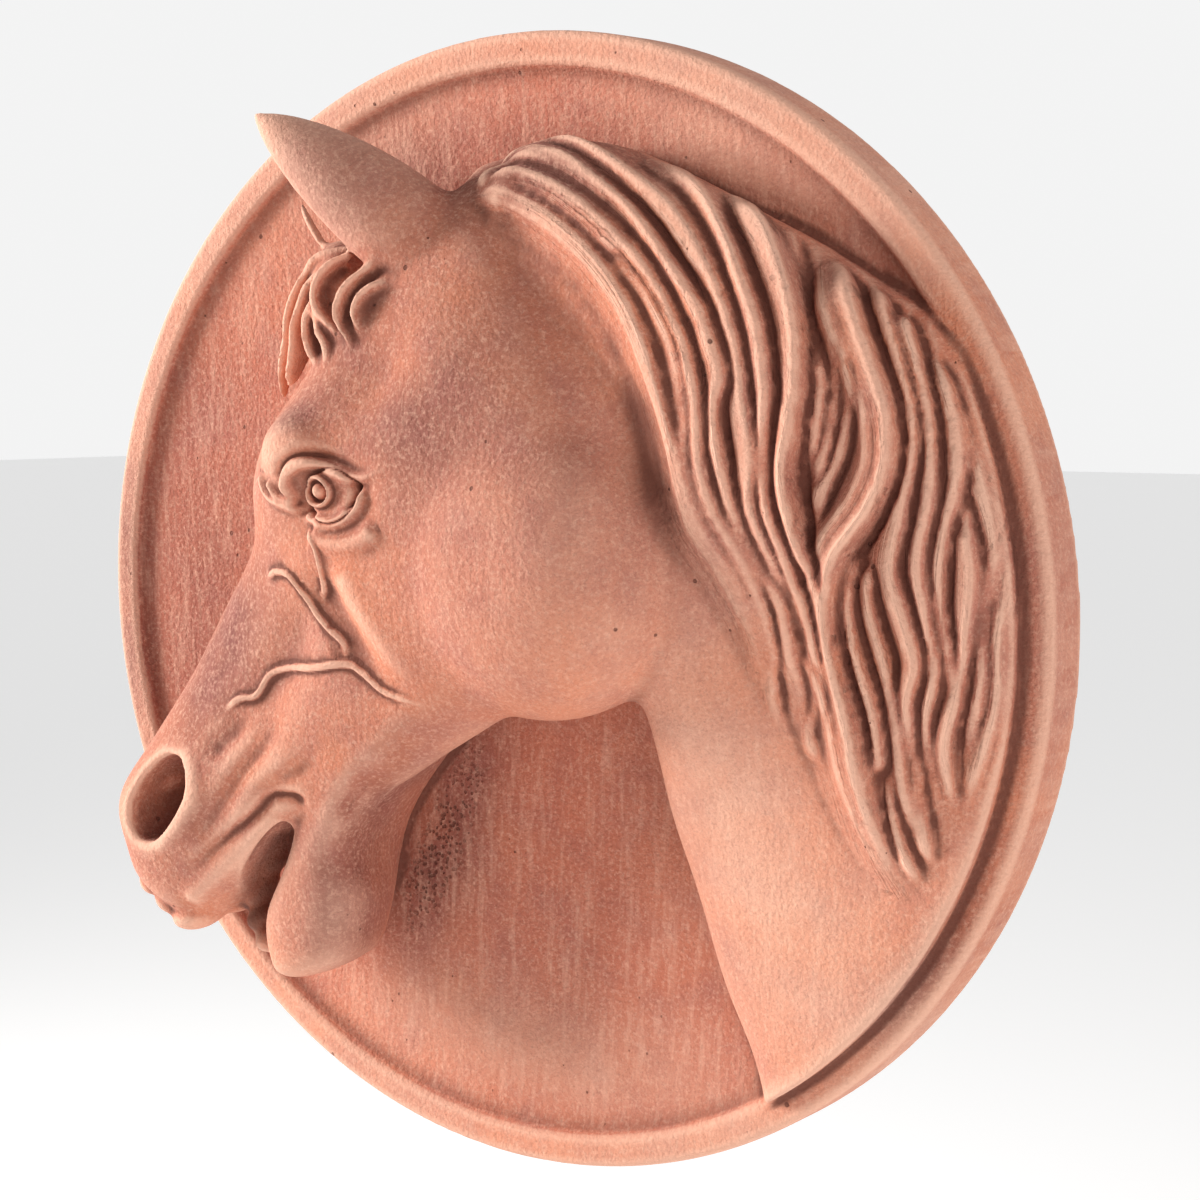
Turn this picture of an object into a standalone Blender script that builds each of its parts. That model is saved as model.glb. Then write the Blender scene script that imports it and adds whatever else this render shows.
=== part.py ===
"""Horse wall relief: a round fired-clay dish with a raised lip, and a horse's head and neck in high relief.

The dish hangs upright with its back on the wall. The origin is the middle of the flat back, +X is to the
viewer's right, +Z is up and the horse looks along -X. The free form of the horse is given in shares of the
dish's radius, as (across, up, out): across and up are measured from the dish's centre, and out from the
front of its lip towards the viewer.
"""

import math

import bmesh
import bpy
import numpy as np
from mathutils import Vector
from mathutils.bvhtree import BVHTree

# Dish, in metres
DISH_RADIUS = 0.300
SIDE_FLARE = 0.002
DISH_DEPTH = 0.034
BACK_EDGE_ROUND = 0.003
LIP_WIDTH = 0.014
LIP_ROUND = 0.0040
STEP_DEPTH = 0.0085
COVE_WIDTH = 0.014
BOWL_DEPTH = 0.016
DISH_SIDES = 88

# Horse, in metres
NECK_EDGE_RADIUS = 0.285
CUT_REACH = 0.15
EAR_WALL = 0.007
MASS_VOXEL = 0.0032
CLAY_VOXEL = 0.0024
RELIEF_TRIANGLES = 7200
LOCK_LEAN = 0.25
LOCK_SPREAD = 1.4

# Fired clay
TERRACOTTA_COLOUR = (0.56, 0.27, 0.18, 1.0)
TERRACOTTA_ROUGHNESS = 0.85


def place(across, up, out):
    """The point in metres for a place given in shares of the dish's radius."""
    return Vector((across * DISH_RADIUS, -DISH_DEPTH - out * DISH_RADIUS, up * DISH_RADIUS))


def smooth_rows(rows, steps):
    """Rows of numbers with extra rows between them, on a smooth curve through all of them."""
    rows = [np.array(row, dtype=float) for row in rows]
    padded = [2 * rows[0] - rows[1]] + rows + [2 * rows[-1] - rows[-2]]
    result = []
    for before, start, end, after in zip(padded, padded[1:], padded[2:], padded[3:]):
        for step in range(steps):
            t = step / steps
            curve = 2 * start + (end - before) * t
            curve = curve + (2 * before - 5 * start + 4 * end - after) * t ** 2
            curve = curve + (3 * start - before - 3 * end + after) * t ** 3
            result.append(curve / 2)
    result.append(rows[-1])
    return result


def new_object(name, bm):
    """A mesh object made from the bmesh, which is freed."""
    bm.normal_update()
    bmesh.ops.recalc_face_normals(bm, faces=bm.faces)
    mesh = bpy.data.meshes.new(name)
    bm.to_mesh(mesh)
    bm.free()
    obj = bpy.data.objects.new(name, mesh)
    bpy.context.collection.objects.link(obj)
    return obj


def skin_rings(name, rings):
    """A closed skin over rings of points, with its two ends drawn to a point."""
    bm = bmesh.new()
    loops = [[bm.verts.new(point) for point in ring] for ring in rings]
    for lower, upper in zip(loops, loops[1:]):
        for i in range(len(lower)):
            j = (i + 1) % len(lower)
            bm.faces.new((lower[i], lower[j], upper[j], upper[i]))
    for loop in (loops[0], loops[-1]):
        tip = bm.verts.new(sum((vert.co for vert in loop), Vector()) / len(loop))
        for i in range(len(loop)):
            bm.faces.new((loop[i], loop[(i + 1) % len(loop)], tip))
    return new_object(name, bm)


def section(row, undercut, scale=1.0, shift=(0.0, 0.0, 0.0), sides=32):
    """One rounded section of a mass, between two edges in the plane of the dish, narrowed behind."""
    x1, y1, x2, y2, middle, near, far, power, lean = row
    ring = []
    for i in range(sides):
        angle = 2 * math.pi * i / sides
        along = math.copysign(abs(math.cos(angle)) ** (2 / power), math.cos(angle))
        rise = math.copysign(abs(math.sin(angle)) ** (2 / power), math.sin(angle))
        depth = near if rise > 0 else far
        if rise < 0:
            along = along * (1 - undercut * abs(rise))
        x = (x1 + x2) / 2 + scale * along * (x1 - x2) / 2 + shift[0]
        y = (y1 + y2) / 2 + scale * along * (y1 - y2) / 2 + shift[1]
        z = middle + scale * depth * rise * (1 + lean * along) + shift[2]
        ring.append((x, y, z))
    return ring


def centre_of(row):
    return np.array(((row[0] + row[2]) / 2, (row[1] + row[3]) / 2, row[4]))


def loft(name, rows, start_cap, end_cap, undercut=0.0, steps=5):
    """A mass lofted through its sections, with rounded ends that stand out by the cap lengths."""
    rows = smooth_rows(rows, steps)
    rings = []
    start_way = centre_of(rows[0]) - centre_of(rows[1])
    end_way = centre_of(rows[-1]) - centre_of(rows[-2])
    start_way = start_way / np.linalg.norm(start_way)
    end_way = end_way / np.linalg.norm(end_way)
    cap_turns = [math.radians(degrees) for degrees in (80, 62, 44, 24)]
    for turn in cap_turns:
        rings.append(section(rows[0], undercut, math.cos(turn), start_way * start_cap * math.sin(turn)))
    rings += [section(row, undercut) for row in rows]
    for turn in reversed(cap_turns):
        rings.append(section(rows[-1], undercut, math.cos(turn), end_way * end_cap * math.sin(turn)))
    return skin_rings(name, [[place(*point) for point in ring] for ring in rings])


def lump(name, centre, along, across, out, slope_degrees=0.0, power=2.0):
    """A rounded mass with its long way turned by the slope; a higher power makes it squarer."""
    bm = bmesh.new()
    bmesh.ops.create_uvsphere(bm, u_segments=40, v_segments=24, radius=1.0)
    turn = math.radians(slope_degrees)
    for vert in bm.verts:
        x, y, z = vert.co
        spread = math.hypot(x, y) ** (2 / power)
        lift = math.copysign(abs(z) ** (2 / power), z)
        heading = math.atan2(y, x)
        x, y, z = spread * math.cos(heading) * along, spread * math.sin(heading) * across, lift * out
        turned = (x * math.cos(turn) - y * math.sin(turn), x * math.sin(turn) + y * math.cos(turn), z)
        vert.co = place(*(c + d for c, d in zip(centre, turned)))
    return new_object(name, bm)


def strand(name, path, width, depth):
    """A lock of hair that stands free of the skin: a tube along a path, pointed at both ends."""
    line = smooth_rows(path, 5)
    rings = []
    for i, point in enumerate(line):
        way = line[min(i + 1, len(line) - 1)] - line[max(i - 1, 0)]
        way = way / np.linalg.norm(way)
        side = np.cross(way, (0.0, 0.0, 1.0))
        side = side / np.linalg.norm(side)
        swell = max(0.15, math.sin(math.pi * (0.1 + 0.85 * i / (len(line) - 1))) ** 0.6)
        ring = []
        for k in range(10):
            turn = 2 * math.pi * k / 10
            offset = side * width * swell * math.cos(turn)
            offset = offset + np.array((0.0, 0.0, 1.0)) * depth * swell * math.sin(turn)
            ring.append(place(*(point + offset)))
        rings.append(ring)
    return skin_rings(name, rings)


# Sections of the masses: first edge (across, up), second edge (across, up), middle (out), near depth,
# far depth, power of the section's curve (2 is an ellipse, more is squarer), lean of the near side
# towards the first edge
HEAD = (
    (-0.05, 0.71, 0.36, 0.36, 0.08, 0.12, 0.16, 2.2, 0.0),
    (-0.16, 0.61, 0.36, 0.16, 0.11, 0.15, 0.20, 2.3, 0.0),
    (-0.33, 0.40, 0.28, -0.02, 0.13, 0.16, 0.22, 2.4, 0.0),
    (-0.42, 0.26, 0.16, -0.12, 0.13, 0.16, 0.22, 2.4, 0.1),
    (-0.44, 0.13, 0.07, -0.18, 0.13, 0.14, 0.22, 2.2, 0.1),
    (-0.53, 0.00, -0.03, -0.24, 0.13, 0.13, 0.20, 2.1, 0.0),
    (-0.61, -0.13, -0.14, -0.31, 0.14, 0.12, 0.18, 2.1, 0.0),
    (-0.69, -0.25, -0.27, -0.36, 0.15, 0.13, 0.15, 2.2, 0.0),
    (-0.77, -0.37, -0.39, -0.47, 0.15, 0.14, 0.14, 2.3, 0.1),
    (-0.76, -0.47, -0.53, -0.59, 0.15, 0.11, 0.12, 2.2, 0.0),
)
JAW = (
    (-0.10, -0.00, 0.22, -0.08, 0.13, 0.11, 0.20, 2.2, 0.0),
    (-0.22, -0.18, -0.02, -0.20, 0.13, 0.11, 0.20, 2.2, 0.0),
    (-0.29, -0.33, -0.17, -0.33, 0.14, 0.09, 0.20, 2.5, 0.0),
    (-0.37, -0.46, -0.23, -0.43, 0.14, 0.08, 0.20, 2.8, 0.0),
    (-0.43, -0.58, -0.22, -0.53, 0.14, 0.08, 0.18, 2.8, 0.0),
    (-0.42, -0.68, -0.24, -0.62, 0.14, 0.07, 0.16, 2.6, 0.0),
)
NECK = (
    (0.20, 0.10, -0.05, 0.78, 0.00, 0.16, 0.10, 2.2, 0.1),
    (0.28, -0.03, 0.22, 0.80, 0.00, 0.20, 0.08, 2.3, 0.2),
    (0.31, -0.11, 0.53, 0.66, -0.02, 0.20, 0.06, 2.3, 0.2),
    (0.33, -0.22, 0.72, 0.55, -0.03, 0.17, 0.05, 2.4, 0.2),
    (0.35, -0.34, 0.84, 0.47, -0.04, 0.15, 0.04, 2.5, 0.2),
    (0.39, -0.46, 0.96, 0.29, -0.04, 0.12, 0.04, 2.8, 0.1),
    (0.44, -0.61, 1.02, 0.05, -0.04, 0.10, 0.04, 3.0, 0.1),
    (0.50, -0.74, 1.02, -0.26, -0.04, 0.09, 0.04, 3.0, 0.1),
    (0.54, -0.90, 0.98, -0.55, -0.04, 0.09, 0.04, 3.0, 0.1),
    (0.60, -1.06, 0.96, -0.78, -0.04, 0.09, 0.04, 3.0, 0.1),
)
UNDERCUT = 0.35


def ear(name, base, tip, facing, width, bulge, wall):
    """A hollow leaf-shaped ear, whose closed back faces the given way."""
    base, tip, facing = (np.array(value, dtype=float) for value in (base, tip, facing))
    axis = tip - base
    length = np.linalg.norm(axis)
    axis = axis / length
    facing = facing - axis * (facing @ axis)
    facing = facing / np.linalg.norm(facing)
    side = np.cross(axis, facing)
    rings = []
    for share in (-0.30, -0.15, 0.0, 0.12, 0.25, 0.4, 0.55, 0.7, 0.82, 0.92, 0.98, 1.0):
        leaf = max(0.10, (1 - abs(share) ** 2.2) ** 0.75)
        middle = base + axis * length * share + facing * 0.06 * share * (1 - share)
        half = width * leaf
        depth = bulge * leaf
        ring = []
        outer_turns = [math.radians(-105 + 210 * i / 14) for i in range(15)]
        for turn in outer_turns:
            ring.append(middle + side * half * math.sin(turn) + facing * depth * math.cos(turn))
        inner = max(0.35, 1 - wall / half)
        for turn in reversed(outer_turns):
            inset = depth * inner * math.cos(turn) - 0.2 * wall
            ring.append(middle + side * half * inner * math.sin(turn) + facing * inset)
        rings.append([place(*point) for point in ring])
    return skin_rings(name, rings)


def joined(name, objects):
    """One object that holds the meshes of all the given ones."""
    bm = bmesh.new()
    for obj in objects:
        bm.from_mesh(obj.data)
        bpy.data.objects.remove(obj)
    return new_object(name, bm)


def applied(obj):
    """Gives the object its mesh as its modifiers leave it."""
    depsgraph = bpy.context.evaluated_depsgraph_get()
    mesh = bpy.data.meshes.new_from_object(obj.evaluated_get(depsgraph))
    obj.modifiers.clear()
    obj.data = mesh
    return obj


def melted(obj, voxel, smoothing):
    """Melts overlapping masses into one skin of small even faces."""
    remesh = obj.modifiers.new("melt", "REMESH")
    remesh.mode = "VOXEL"
    remesh.voxel_size = voxel
    smooth = obj.modifiers.new("smooth", "SMOOTH")
    smooth.factor = 0.5
    smooth.iterations = smoothing
    return applied(obj)


def cut_away(obj, cutter):
    """Takes the cutter's shape out of the object."""
    cut = obj.modifiers.new("cut", "BOOLEAN")
    cut.operation = "DIFFERENCE"
    cut.object = cutter
    applied(obj)
    bpy.data.objects.remove(cutter)
    return obj


def path_distance(flat, path):
    """How far each point lies from the path, on which side, and how far along it, from 0 to 1."""
    line = np.array(smooth_rows(path, 5))
    best = np.full(len(flat), 9.0)
    side = np.ones(len(flat))
    share = np.zeros(len(flat))
    for i, (start, end) in enumerate(zip(line, line[1:])):
        way = end - start
        t = np.clip(((flat - start) @ way) / (way @ way), 0, 1)
        gap = flat - start - t[:, None] * way
        distance = np.hypot(gap[:, 0], gap[:, 1])
        nearer = distance < best
        best[nearer] = distance[nearer]
        side[nearer] = np.sign(gap[:, 0] * way[1] - gap[:, 1] * way[0])[nearer]
        share[nearer] = (i + t[nearer]) / (len(line) - 1)
    return best, side, share


def tapered(share, start, end):
    """1 in the middle of a stroke, falling to 0 over the given lengths at its two ends."""
    return np.clip(share / start, 0, 1) ** 0.6 * np.clip((1 - share) / end, 0, 1) ** 0.6


def stroke(flat, path, width, start=0.15, end=0.15):
    """A soft ridge of height 1 along a path, with pointed ends."""
    distance, _, share = path_distance(flat, path)
    fade = tapered(share, start, end)
    return fade * np.exp(-(distance / width) ** 2)


def bump(flat, centre, along, across, slope_degrees=0.0):
    """A soft round swelling of height 1."""
    turn = math.radians(slope_degrees)
    offset = flat - np.array(centre)
    u = (offset[:, 0] * math.cos(turn) + offset[:, 1] * math.sin(turn)) / along
    v = (offset[:, 1] * math.cos(turn) - offset[:, 0] * math.sin(turn)) / across
    return np.exp(-(u * u + v * v))


# Locks of the mane, from the crest to their tips: half width, height, and the path as (across, up)
MANE_LOCKS = (
    (0.030, 0.036, ((-0.05, 0.72), (0.06, 0.72), (0.18, 0.68), (0.28, 0.59), (0.35, 0.49),
      (0.39, 0.41), (0.43, 0.30))),
    (0.026, 0.036, ((-0.05, 0.75), (0.09, 0.75), (0.18, 0.72), (0.26, 0.67), (0.38, 0.56),
      (0.42, 0.50), (0.45, 0.42))),
    (0.022, 0.030, ((0.32, 0.57), (0.40, 0.49), (0.44, 0.40), (0.46, 0.28))),
    (0.026, 0.036, ((-0.03, 0.78), (0.08, 0.79), (0.18, 0.75), (0.33, 0.66), (0.42, 0.57),
      (0.47, 0.49), (0.50, 0.36))),
    (0.026, 0.038, ((0.07, 0.82), (0.18, 0.78), (0.27, 0.74), (0.38, 0.66), (0.46, 0.57),
      (0.50, 0.49), (0.53, 0.30))),
    (0.022, 0.032, ((0.23, 0.78), (0.33, 0.73), (0.42, 0.65), (0.49, 0.55), (0.53, 0.43))),
    (0.032, 0.048, ((0.33, 0.75), (0.45, 0.64), (0.52, 0.53), (0.55, 0.40), (0.55, 0.28), (0.60, 0.12))),
    (0.030, 0.042, ((0.39, 0.74), (0.49, 0.66), (0.57, 0.54), (0.60, 0.45), (0.60, 0.36),
      (0.59, 0.26), (0.62, 0.08))),
    (0.030, 0.038, ((0.50, 0.67), (0.56, 0.60), (0.62, 0.50), (0.65, 0.39), (0.64, 0.32), (0.60, 0.22))),
    (0.016, 0.026, ((0.67, 0.44), (0.66, 0.34), (0.65, 0.24))),
    (0.016, 0.026, ((0.68, 0.40), (0.69, 0.33), (0.66, 0.24), (0.65, 0.17))),
    (0.036, 0.050, ((0.66, 0.55), (0.72, 0.43), (0.75, 0.33), (0.75, 0.25), (0.71, 0.18),
      (0.66, 0.11), (0.65, 0.04))),
    (0.026, 0.038, ((0.71, 0.53), (0.77, 0.40), (0.79, 0.27), (0.77, 0.16), (0.77, 0.08), (0.79, 0.00))),
    (0.024, 0.036, ((0.75, 0.50), (0.80, 0.38), (0.82, 0.22), (0.80, 0.11), (0.82, 0.00))),
    (0.028, 0.032, ((0.80, 0.46), (0.85, 0.32), (0.85, 0.22), (0.83, 0.11), (0.83, 0.00))),
    (0.026, 0.028, ((0.85, 0.38), (0.89, 0.26), (0.92, 0.16), (0.93, 0.06))),
    (0.022, 0.024, ((0.85, 0.25), (0.88, 0.15), (0.90, 0.07), (0.89, 0.01))),
    (0.022, 0.030, ((0.45, 0.26), (0.51, 0.12), (0.55, 0.04), (0.57, -0.07), (0.59, -0.13))),
    (0.022, 0.032, ((0.49, 0.24), (0.53, 0.12), (0.57, 0.06), (0.58, -0.02), (0.57, -0.10), (0.61, -0.21))),
    (0.024, 0.036, ((0.52, 0.24), (0.57, 0.11), (0.61, 0.05), (0.60, -0.02), (0.63, -0.09),
      (0.63, -0.15), (0.66, -0.25))),
    (0.022, 0.032, ((0.58, 0.22), (0.61, 0.12), (0.62, 0.00), (0.66, -0.08), (0.66, -0.15), (0.68, -0.27))),
    (0.028, 0.044, ((0.63, 0.18), (0.65, 0.05), (0.67, -0.06), (0.70, -0.18), (0.71, -0.29),
      (0.77, -0.42))),
    (0.026, 0.038, ((0.72, 0.17), (0.68, 0.07), (0.70, -0.04), (0.74, -0.14), (0.72, -0.22),
      (0.74, -0.31), (0.80, -0.41))),
    (0.022, 0.030, ((0.73, 0.12), (0.73, 0.05), (0.76, -0.05), (0.77, -0.14), (0.78, -0.22),
      (0.82, -0.36))),
    (0.026, 0.038, ((0.77, 0.22), (0.76, 0.12), (0.80, 0.01), (0.79, -0.09), (0.79, -0.18), (0.83, -0.34))),
    (0.024, 0.034, ((0.80, 0.23), (0.80, 0.12), (0.81, 0.03), (0.83, -0.05), (0.81, -0.13),
      (0.83, -0.22), (0.85, -0.32))),
    (0.020, 0.028, ((0.84, 0.22), (0.83, 0.11), (0.84, 0.02), (0.85, -0.04), (0.83, -0.13))),
    (0.022, 0.030, ((0.86, 0.22), (0.88, 0.12), (0.88, 0.04), (0.86, -0.06), (0.85, -0.14), (0.85, -0.27))),
    (0.020, 0.024, ((0.91, 0.16), (0.91, 0.10), (0.90, 0.03), (0.90, -0.06), (0.87, -0.20))),
    (0.022, 0.022, ((0.93, 0.20), (0.94, 0.08), (0.93, -0.06), (0.91, -0.17), (0.87, -0.29))),
)

# Strands of the forelock, between the ear and the brow, as (across, up, out)
FORELOCK = (
    ((-0.12, 0.63, 0.15), (-0.26, 0.60, 0.16), (-0.32, 0.53, 0.16), (-0.33, 0.46, 0.16), (-0.36, 0.37, 0.17)),
    ((-0.11, 0.62, 0.19), (-0.24, 0.59, 0.20), (-0.28, 0.53, 0.20), (-0.27, 0.46, 0.20), (-0.31, 0.38, 0.19)),
    ((-0.10, 0.61, 0.21), (-0.21, 0.58, 0.22), (-0.24, 0.52, 0.22), (-0.22, 0.45, 0.23), (-0.24, 0.39, 0.23)),
    ((-0.09, 0.59, 0.22), (-0.18, 0.56, 0.23), (-0.20, 0.52, 0.23), (-0.18, 0.46, 0.24)),
)
FORELOCK_WIDTH = 0.016
FORELOCK_DEPTH = 0.035

EYE = (-0.170, 0.218)
BROW_CREASE = ((-0.258, 0.215), (-0.240, 0.262), (-0.200, 0.280), (-0.150, 0.275), (-0.100, 0.262))
UPPER_LID = ((-0.240, 0.200), (-0.240, 0.240), (-0.210, 0.260), (-0.165, 0.260), (-0.120, 0.248),
             (-0.050, 0.255))
LOWER_LID = ((-0.220, 0.185), (-0.180, 0.165), (-0.140, 0.170), (-0.108, 0.195), (-0.100, 0.235))
UNDER_EYE = ((-0.200, 0.155), (-0.160, 0.135), (-0.115, 0.135), (-0.070, 0.165))
INNER_CORNER = ((-0.315, 0.235), (-0.325, 0.205), (-0.285, 0.182), (-0.235, 0.180))
FACE_VEINS = (
    ((-0.205, 0.155), (-0.190, 0.100), (-0.190, 0.050), (-0.205, 0.010)),
    ((-0.305, 0.070), (-0.260, 0.075), (-0.230, 0.050), (-0.200, 0.010), (-0.165, -0.030), (-0.150, -0.070)),
    ((-0.440, -0.170), (-0.390, -0.155), (-0.350, -0.105), (-0.280, -0.090), (-0.150, -0.085),
     (-0.080, -0.120), (0.000, -0.145)),
)


def read_skin(obj):
    """The object's points and their outward directions, in shares of the dish's radius."""
    mesh = obj.data
    points = np.empty(len(mesh.vertices) * 3)
    normals = np.empty(len(mesh.vertices) * 3)
    mesh.vertices.foreach_get("co", points)
    mesh.vertices.foreach_get("normal", normals)
    points = points.reshape(-1, 3)
    normals = normals.reshape(-1, 3)
    shares = np.column_stack((points[:, 0], points[:, 2], -points[:, 1] - DISH_DEPTH)) / DISH_RADIUS
    outward = np.column_stack((normals[:, 0], normals[:, 2], -normals[:, 1]))
    return shares, outward


def write_skin(obj, shares):
    """Moves the object's points to the given places."""
    points = np.column_stack((shares[:, 0], -shares[:, 2], shares[:, 1])) * DISH_RADIUS
    points[:, 1] -= DISH_DEPTH
    obj.data.vertices.foreach_set("co", points.ravel())
    obj.data.update()


def lock_heights(flat, locks, steepness):
    """The height of the highest lock over each point: each is rounded, with its steep side to the left."""
    height = np.zeros(len(flat))
    for width, rise, path in locks:
        low = np.min(path, axis=0) - 2 * width
        high = np.max(path, axis=0) + 2 * width
        close = np.all((flat > low) & (flat < high), axis=1)
        distance, side, share = path_distance(flat[close], path)
        fade = tapered(share, 0.12, 0.3)
        offset = side * distance / (LOCK_SPREAD * width * (0.35 + 0.65 * fade))
        crest = -steepness
        flank = np.where(offset > crest, (offset - crest) / (1 - crest), (crest - offset) / (1 + crest))
        lock = rise * fade * (1 - np.clip(flank, 0, 1) ** 2)
        height[close] = np.maximum(height[close], lock)
    return height


def carve_mane(obj, clear):
    """Raises the locks of the mane on the neck."""
    shares, outward = read_skin(obj)
    front = np.clip(outward[:, 2] * 2.5, 0, 1) * clear
    height = lock_heights(shares[:, :2], MANE_LOCKS, LOCK_LEAN) * front
    away = outward * 0.5 + np.array((0.0, 0.0, 0.5))
    write_skin(obj, shares + away * height[:, None])


def carve_face(obj, clear):
    """Shapes brow, eye, nose, lips and veins on the head."""
    shares, outward = read_skin(obj)
    flat = shares[:, :2]
    front = np.clip(outward[:, 2] * 2.5, 0, 1) * clear
    rise = 0.022 * bump(flat, (-0.26, 0.31), 0.10, 0.06, 20)
    rise -= 0.024 * bump(flat, (-0.10, 0.41), 0.10, 0.07, 40)
    rise -= 0.034 * bump(flat, EYE, 0.075, 0.050, 15)
    rise -= 0.022 * stroke(flat, BROW_CREASE, 0.012)
    rise -= 0.022 * stroke(flat, ((-0.20, 0.10), (-0.24, -0.02), (-0.36, -0.16), (-0.46, -0.24)), 0.06)
    rise -= 0.024 * stroke(flat, ((-0.28, -0.34), (-0.34, -0.34), (-0.42, -0.41), (-0.51, -0.49)), 0.022)
    rise += 0.012 * stroke(flat, ((-0.34, -0.38), (-0.43, -0.46), (-0.52, -0.55)), 0.022)
    rise += 0.014 * bump(flat, (-0.24, -0.55), 0.07, 0.05, 70)
    for vein in FACE_VEINS:
        rise += 0.014 * stroke(flat, vein, 0.010)
    rise += 0.020 * stroke(flat, UPPER_LID, 0.010)
    rise += 0.020 * stroke(flat, LOWER_LID, 0.010)
    rise += 0.014 * stroke(flat, UNDER_EYE, 0.018)
    rise += 0.014 * stroke(flat, INNER_CORNER, 0.012)
    shares = shares + outward * (rise * front)[:, None]
    ball = 1 - ((flat[:, 0] - EYE[0]) / 0.058) ** 2 - ((flat[:, 1] - EYE[1]) / 0.046) ** 2
    shares[:, 2] += 0.045 * np.sqrt(np.clip(ball, 0, 1)) * front
    write_skin(obj, shares)


def lip_cutter():
    """A thick part ring that follows the lip on the right, for cutting the neck and mane off beside it."""
    bm = bmesh.new()
    turns = [math.radians(-100 + 5 * i) for i in range(35)]
    loops = []
    for turn in turns:
        corners = ((NECK_EDGE_RADIUS, -CUT_REACH), (NECK_EDGE_RADIUS, CUT_REACH),
                   (DISH_RADIUS * 1.5, CUT_REACH), (DISH_RADIUS * 1.5, -CUT_REACH))
        loops.append([bm.verts.new((r * math.cos(turn), y, r * math.sin(turn))) for r, y in corners])
    for start, end in zip(loops, loops[1:]):
        for i in range(4):
            j = (i + 1) % 4
            bm.faces.new((start[i], start[j], end[j], end[i]))
    bm.faces.new(loops[0])
    bm.faces.new(loops[-1])
    return new_object("lip_cutter", bm)


def away_from(obj, others, distance):
    """For each point, 0 on the skin of the other objects and 1 past the distance from them, in metres."""
    clear = np.ones(len(obj.data.vertices))
    for other in others:
        bm = bmesh.new()
        bm.from_mesh(other.data)
        tree = BVHTree.FromBMesh(bm)
        bm.free()
        for i, vert in enumerate(obj.data.vertices):
            nearest = tree.find_nearest(vert.co, distance)
            if nearest[0] is not None:
                clear[i] = min(clear[i], nearest[3] / distance)
    return clear


def dish_profile():
    """The turned outline of the dish from the back's rim to its middle in front, as (radius, depth)."""
    back_radius = DISH_RADIUS + SIDE_FLARE
    lip_in = DISH_RADIUS - LIP_WIDTH
    points = [(back_radius - BACK_EDGE_ROUND, 0.0), (back_radius, BACK_EDGE_ROUND)]
    for degrees in (0, 30, 60, 90):
        turn = math.radians(degrees)
        points.append((DISH_RADIUS - LIP_ROUND + LIP_ROUND * math.cos(turn),
                       DISH_DEPTH - LIP_ROUND + LIP_ROUND * math.sin(turn)))
    for degrees in (90, 60, 30, 0):
        turn = math.radians(degrees)
        points.append((lip_in - LIP_ROUND * math.cos(turn),
                       DISH_DEPTH - LIP_ROUND + LIP_ROUND * math.sin(turn)))
    cove_foot = lip_in - LIP_ROUND - COVE_WIDTH
    step_foot = DISH_DEPTH - STEP_DEPTH
    for degrees in (35, 70):
        turn = math.radians(degrees)
        points.append((cove_foot + COVE_WIDTH * math.cos(turn),
                       step_foot + (STEP_DEPTH - LIP_ROUND) * (1 - math.sin(turn))))
    for share in (1.0, 0.9, 0.75, 0.55, 0.3):
        depth = step_foot - (BOWL_DEPTH - STEP_DEPTH) * (1 - share ** 4)
        points.append((cove_foot * share, depth))
    return points


def make_dish():
    bm = bmesh.new()
    rings = []
    for radius, depth in dish_profile():
        ring = []
        for i in range(DISH_SIDES):
            turn = 2 * math.pi * i / DISH_SIDES
            ring.append(bm.verts.new((radius * math.cos(turn), -depth, radius * math.sin(turn))))
        rings.append(ring)
    for outer, inner in zip(rings, rings[1:]):
        for i in range(DISH_SIDES):
            j = (i + 1) % DISH_SIDES
            bm.faces.new((outer[i], outer[j], inner[j], inner[i]))
    bm.faces.new(rings[0])
    middle = bm.verts.new((0.0, -(DISH_DEPTH - BOWL_DEPTH), 0.0))
    for i in range(DISH_SIDES):
        bm.faces.new((rings[-1][i], rings[-1][(i + 1) % DISH_SIDES], middle))
    return new_object("dish", bm)


def thinned(obj, triangles):
    """Brings the skin down to about this many triangles, keeping more where it bends."""
    bm = bmesh.new()
    bm.from_mesh(obj.data)
    bmesh.ops.triangulate(bm, faces=bm.faces)
    found = len(bm.faces)
    bm.to_mesh(obj.data)
    bm.free()
    thin = obj.modifiers.new("thin", "DECIMATE")
    thin.ratio = triangles / found
    return applied(obj)


def united(obj, other):
    """Joins the other object's solid to this one, as one skin."""
    union = obj.modifiers.new("union", "BOOLEAN")
    union.operation = "UNION"
    union.object = other
    applied(obj)
    bpy.data.objects.remove(other)
    return obj


for old in list(bpy.data.objects):
    bpy.data.objects.remove(old)

masses = [
    loft("head", HEAD, 0.05, 0.05, UNDERCUT),
    loft("jaw", JAW, 0.05, 0.03, UNDERCUT),
    loft("neck", NECK, 0.04, 0.05),
    lump("jowl", (0.16, 0.11, 0.11), 0.28, 0.27, 0.20, 0.0, 2.3),
    lump("brow", (-0.245, 0.27, 0.16), 0.115, 0.10, 0.14, 20.0),
    lump("forehead", (-0.22, 0.50, 0.11), 0.17, 0.08, 0.10, -66.0),
]
relief = melted(joined("relief", masses), MASS_VOXEL, 24)
cut_away(relief, lump("nostril", (-0.605, -0.365, 0.25), 0.084, 0.060, 0.12, 62.0))
cut_away(relief, lump("mouth", (-0.40, -0.505, 0.18), 0.14, 0.022, 0.20, 60.0))
details = [
    ear("near_ear", (-0.03, 0.62, 0.11), (-0.350, 0.865, 0.25), (0.50, 0.32, 0.70), 0.112, 0.085,
        EAR_WALL / DISH_RADIUS),
    ear("far_ear", (-0.12, 0.62, 0.03), (-0.38, 0.80, 0.05), (0.20, 0.60, 0.60), 0.075, 0.05,
        EAR_WALL / DISH_RADIUS),
]
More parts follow.
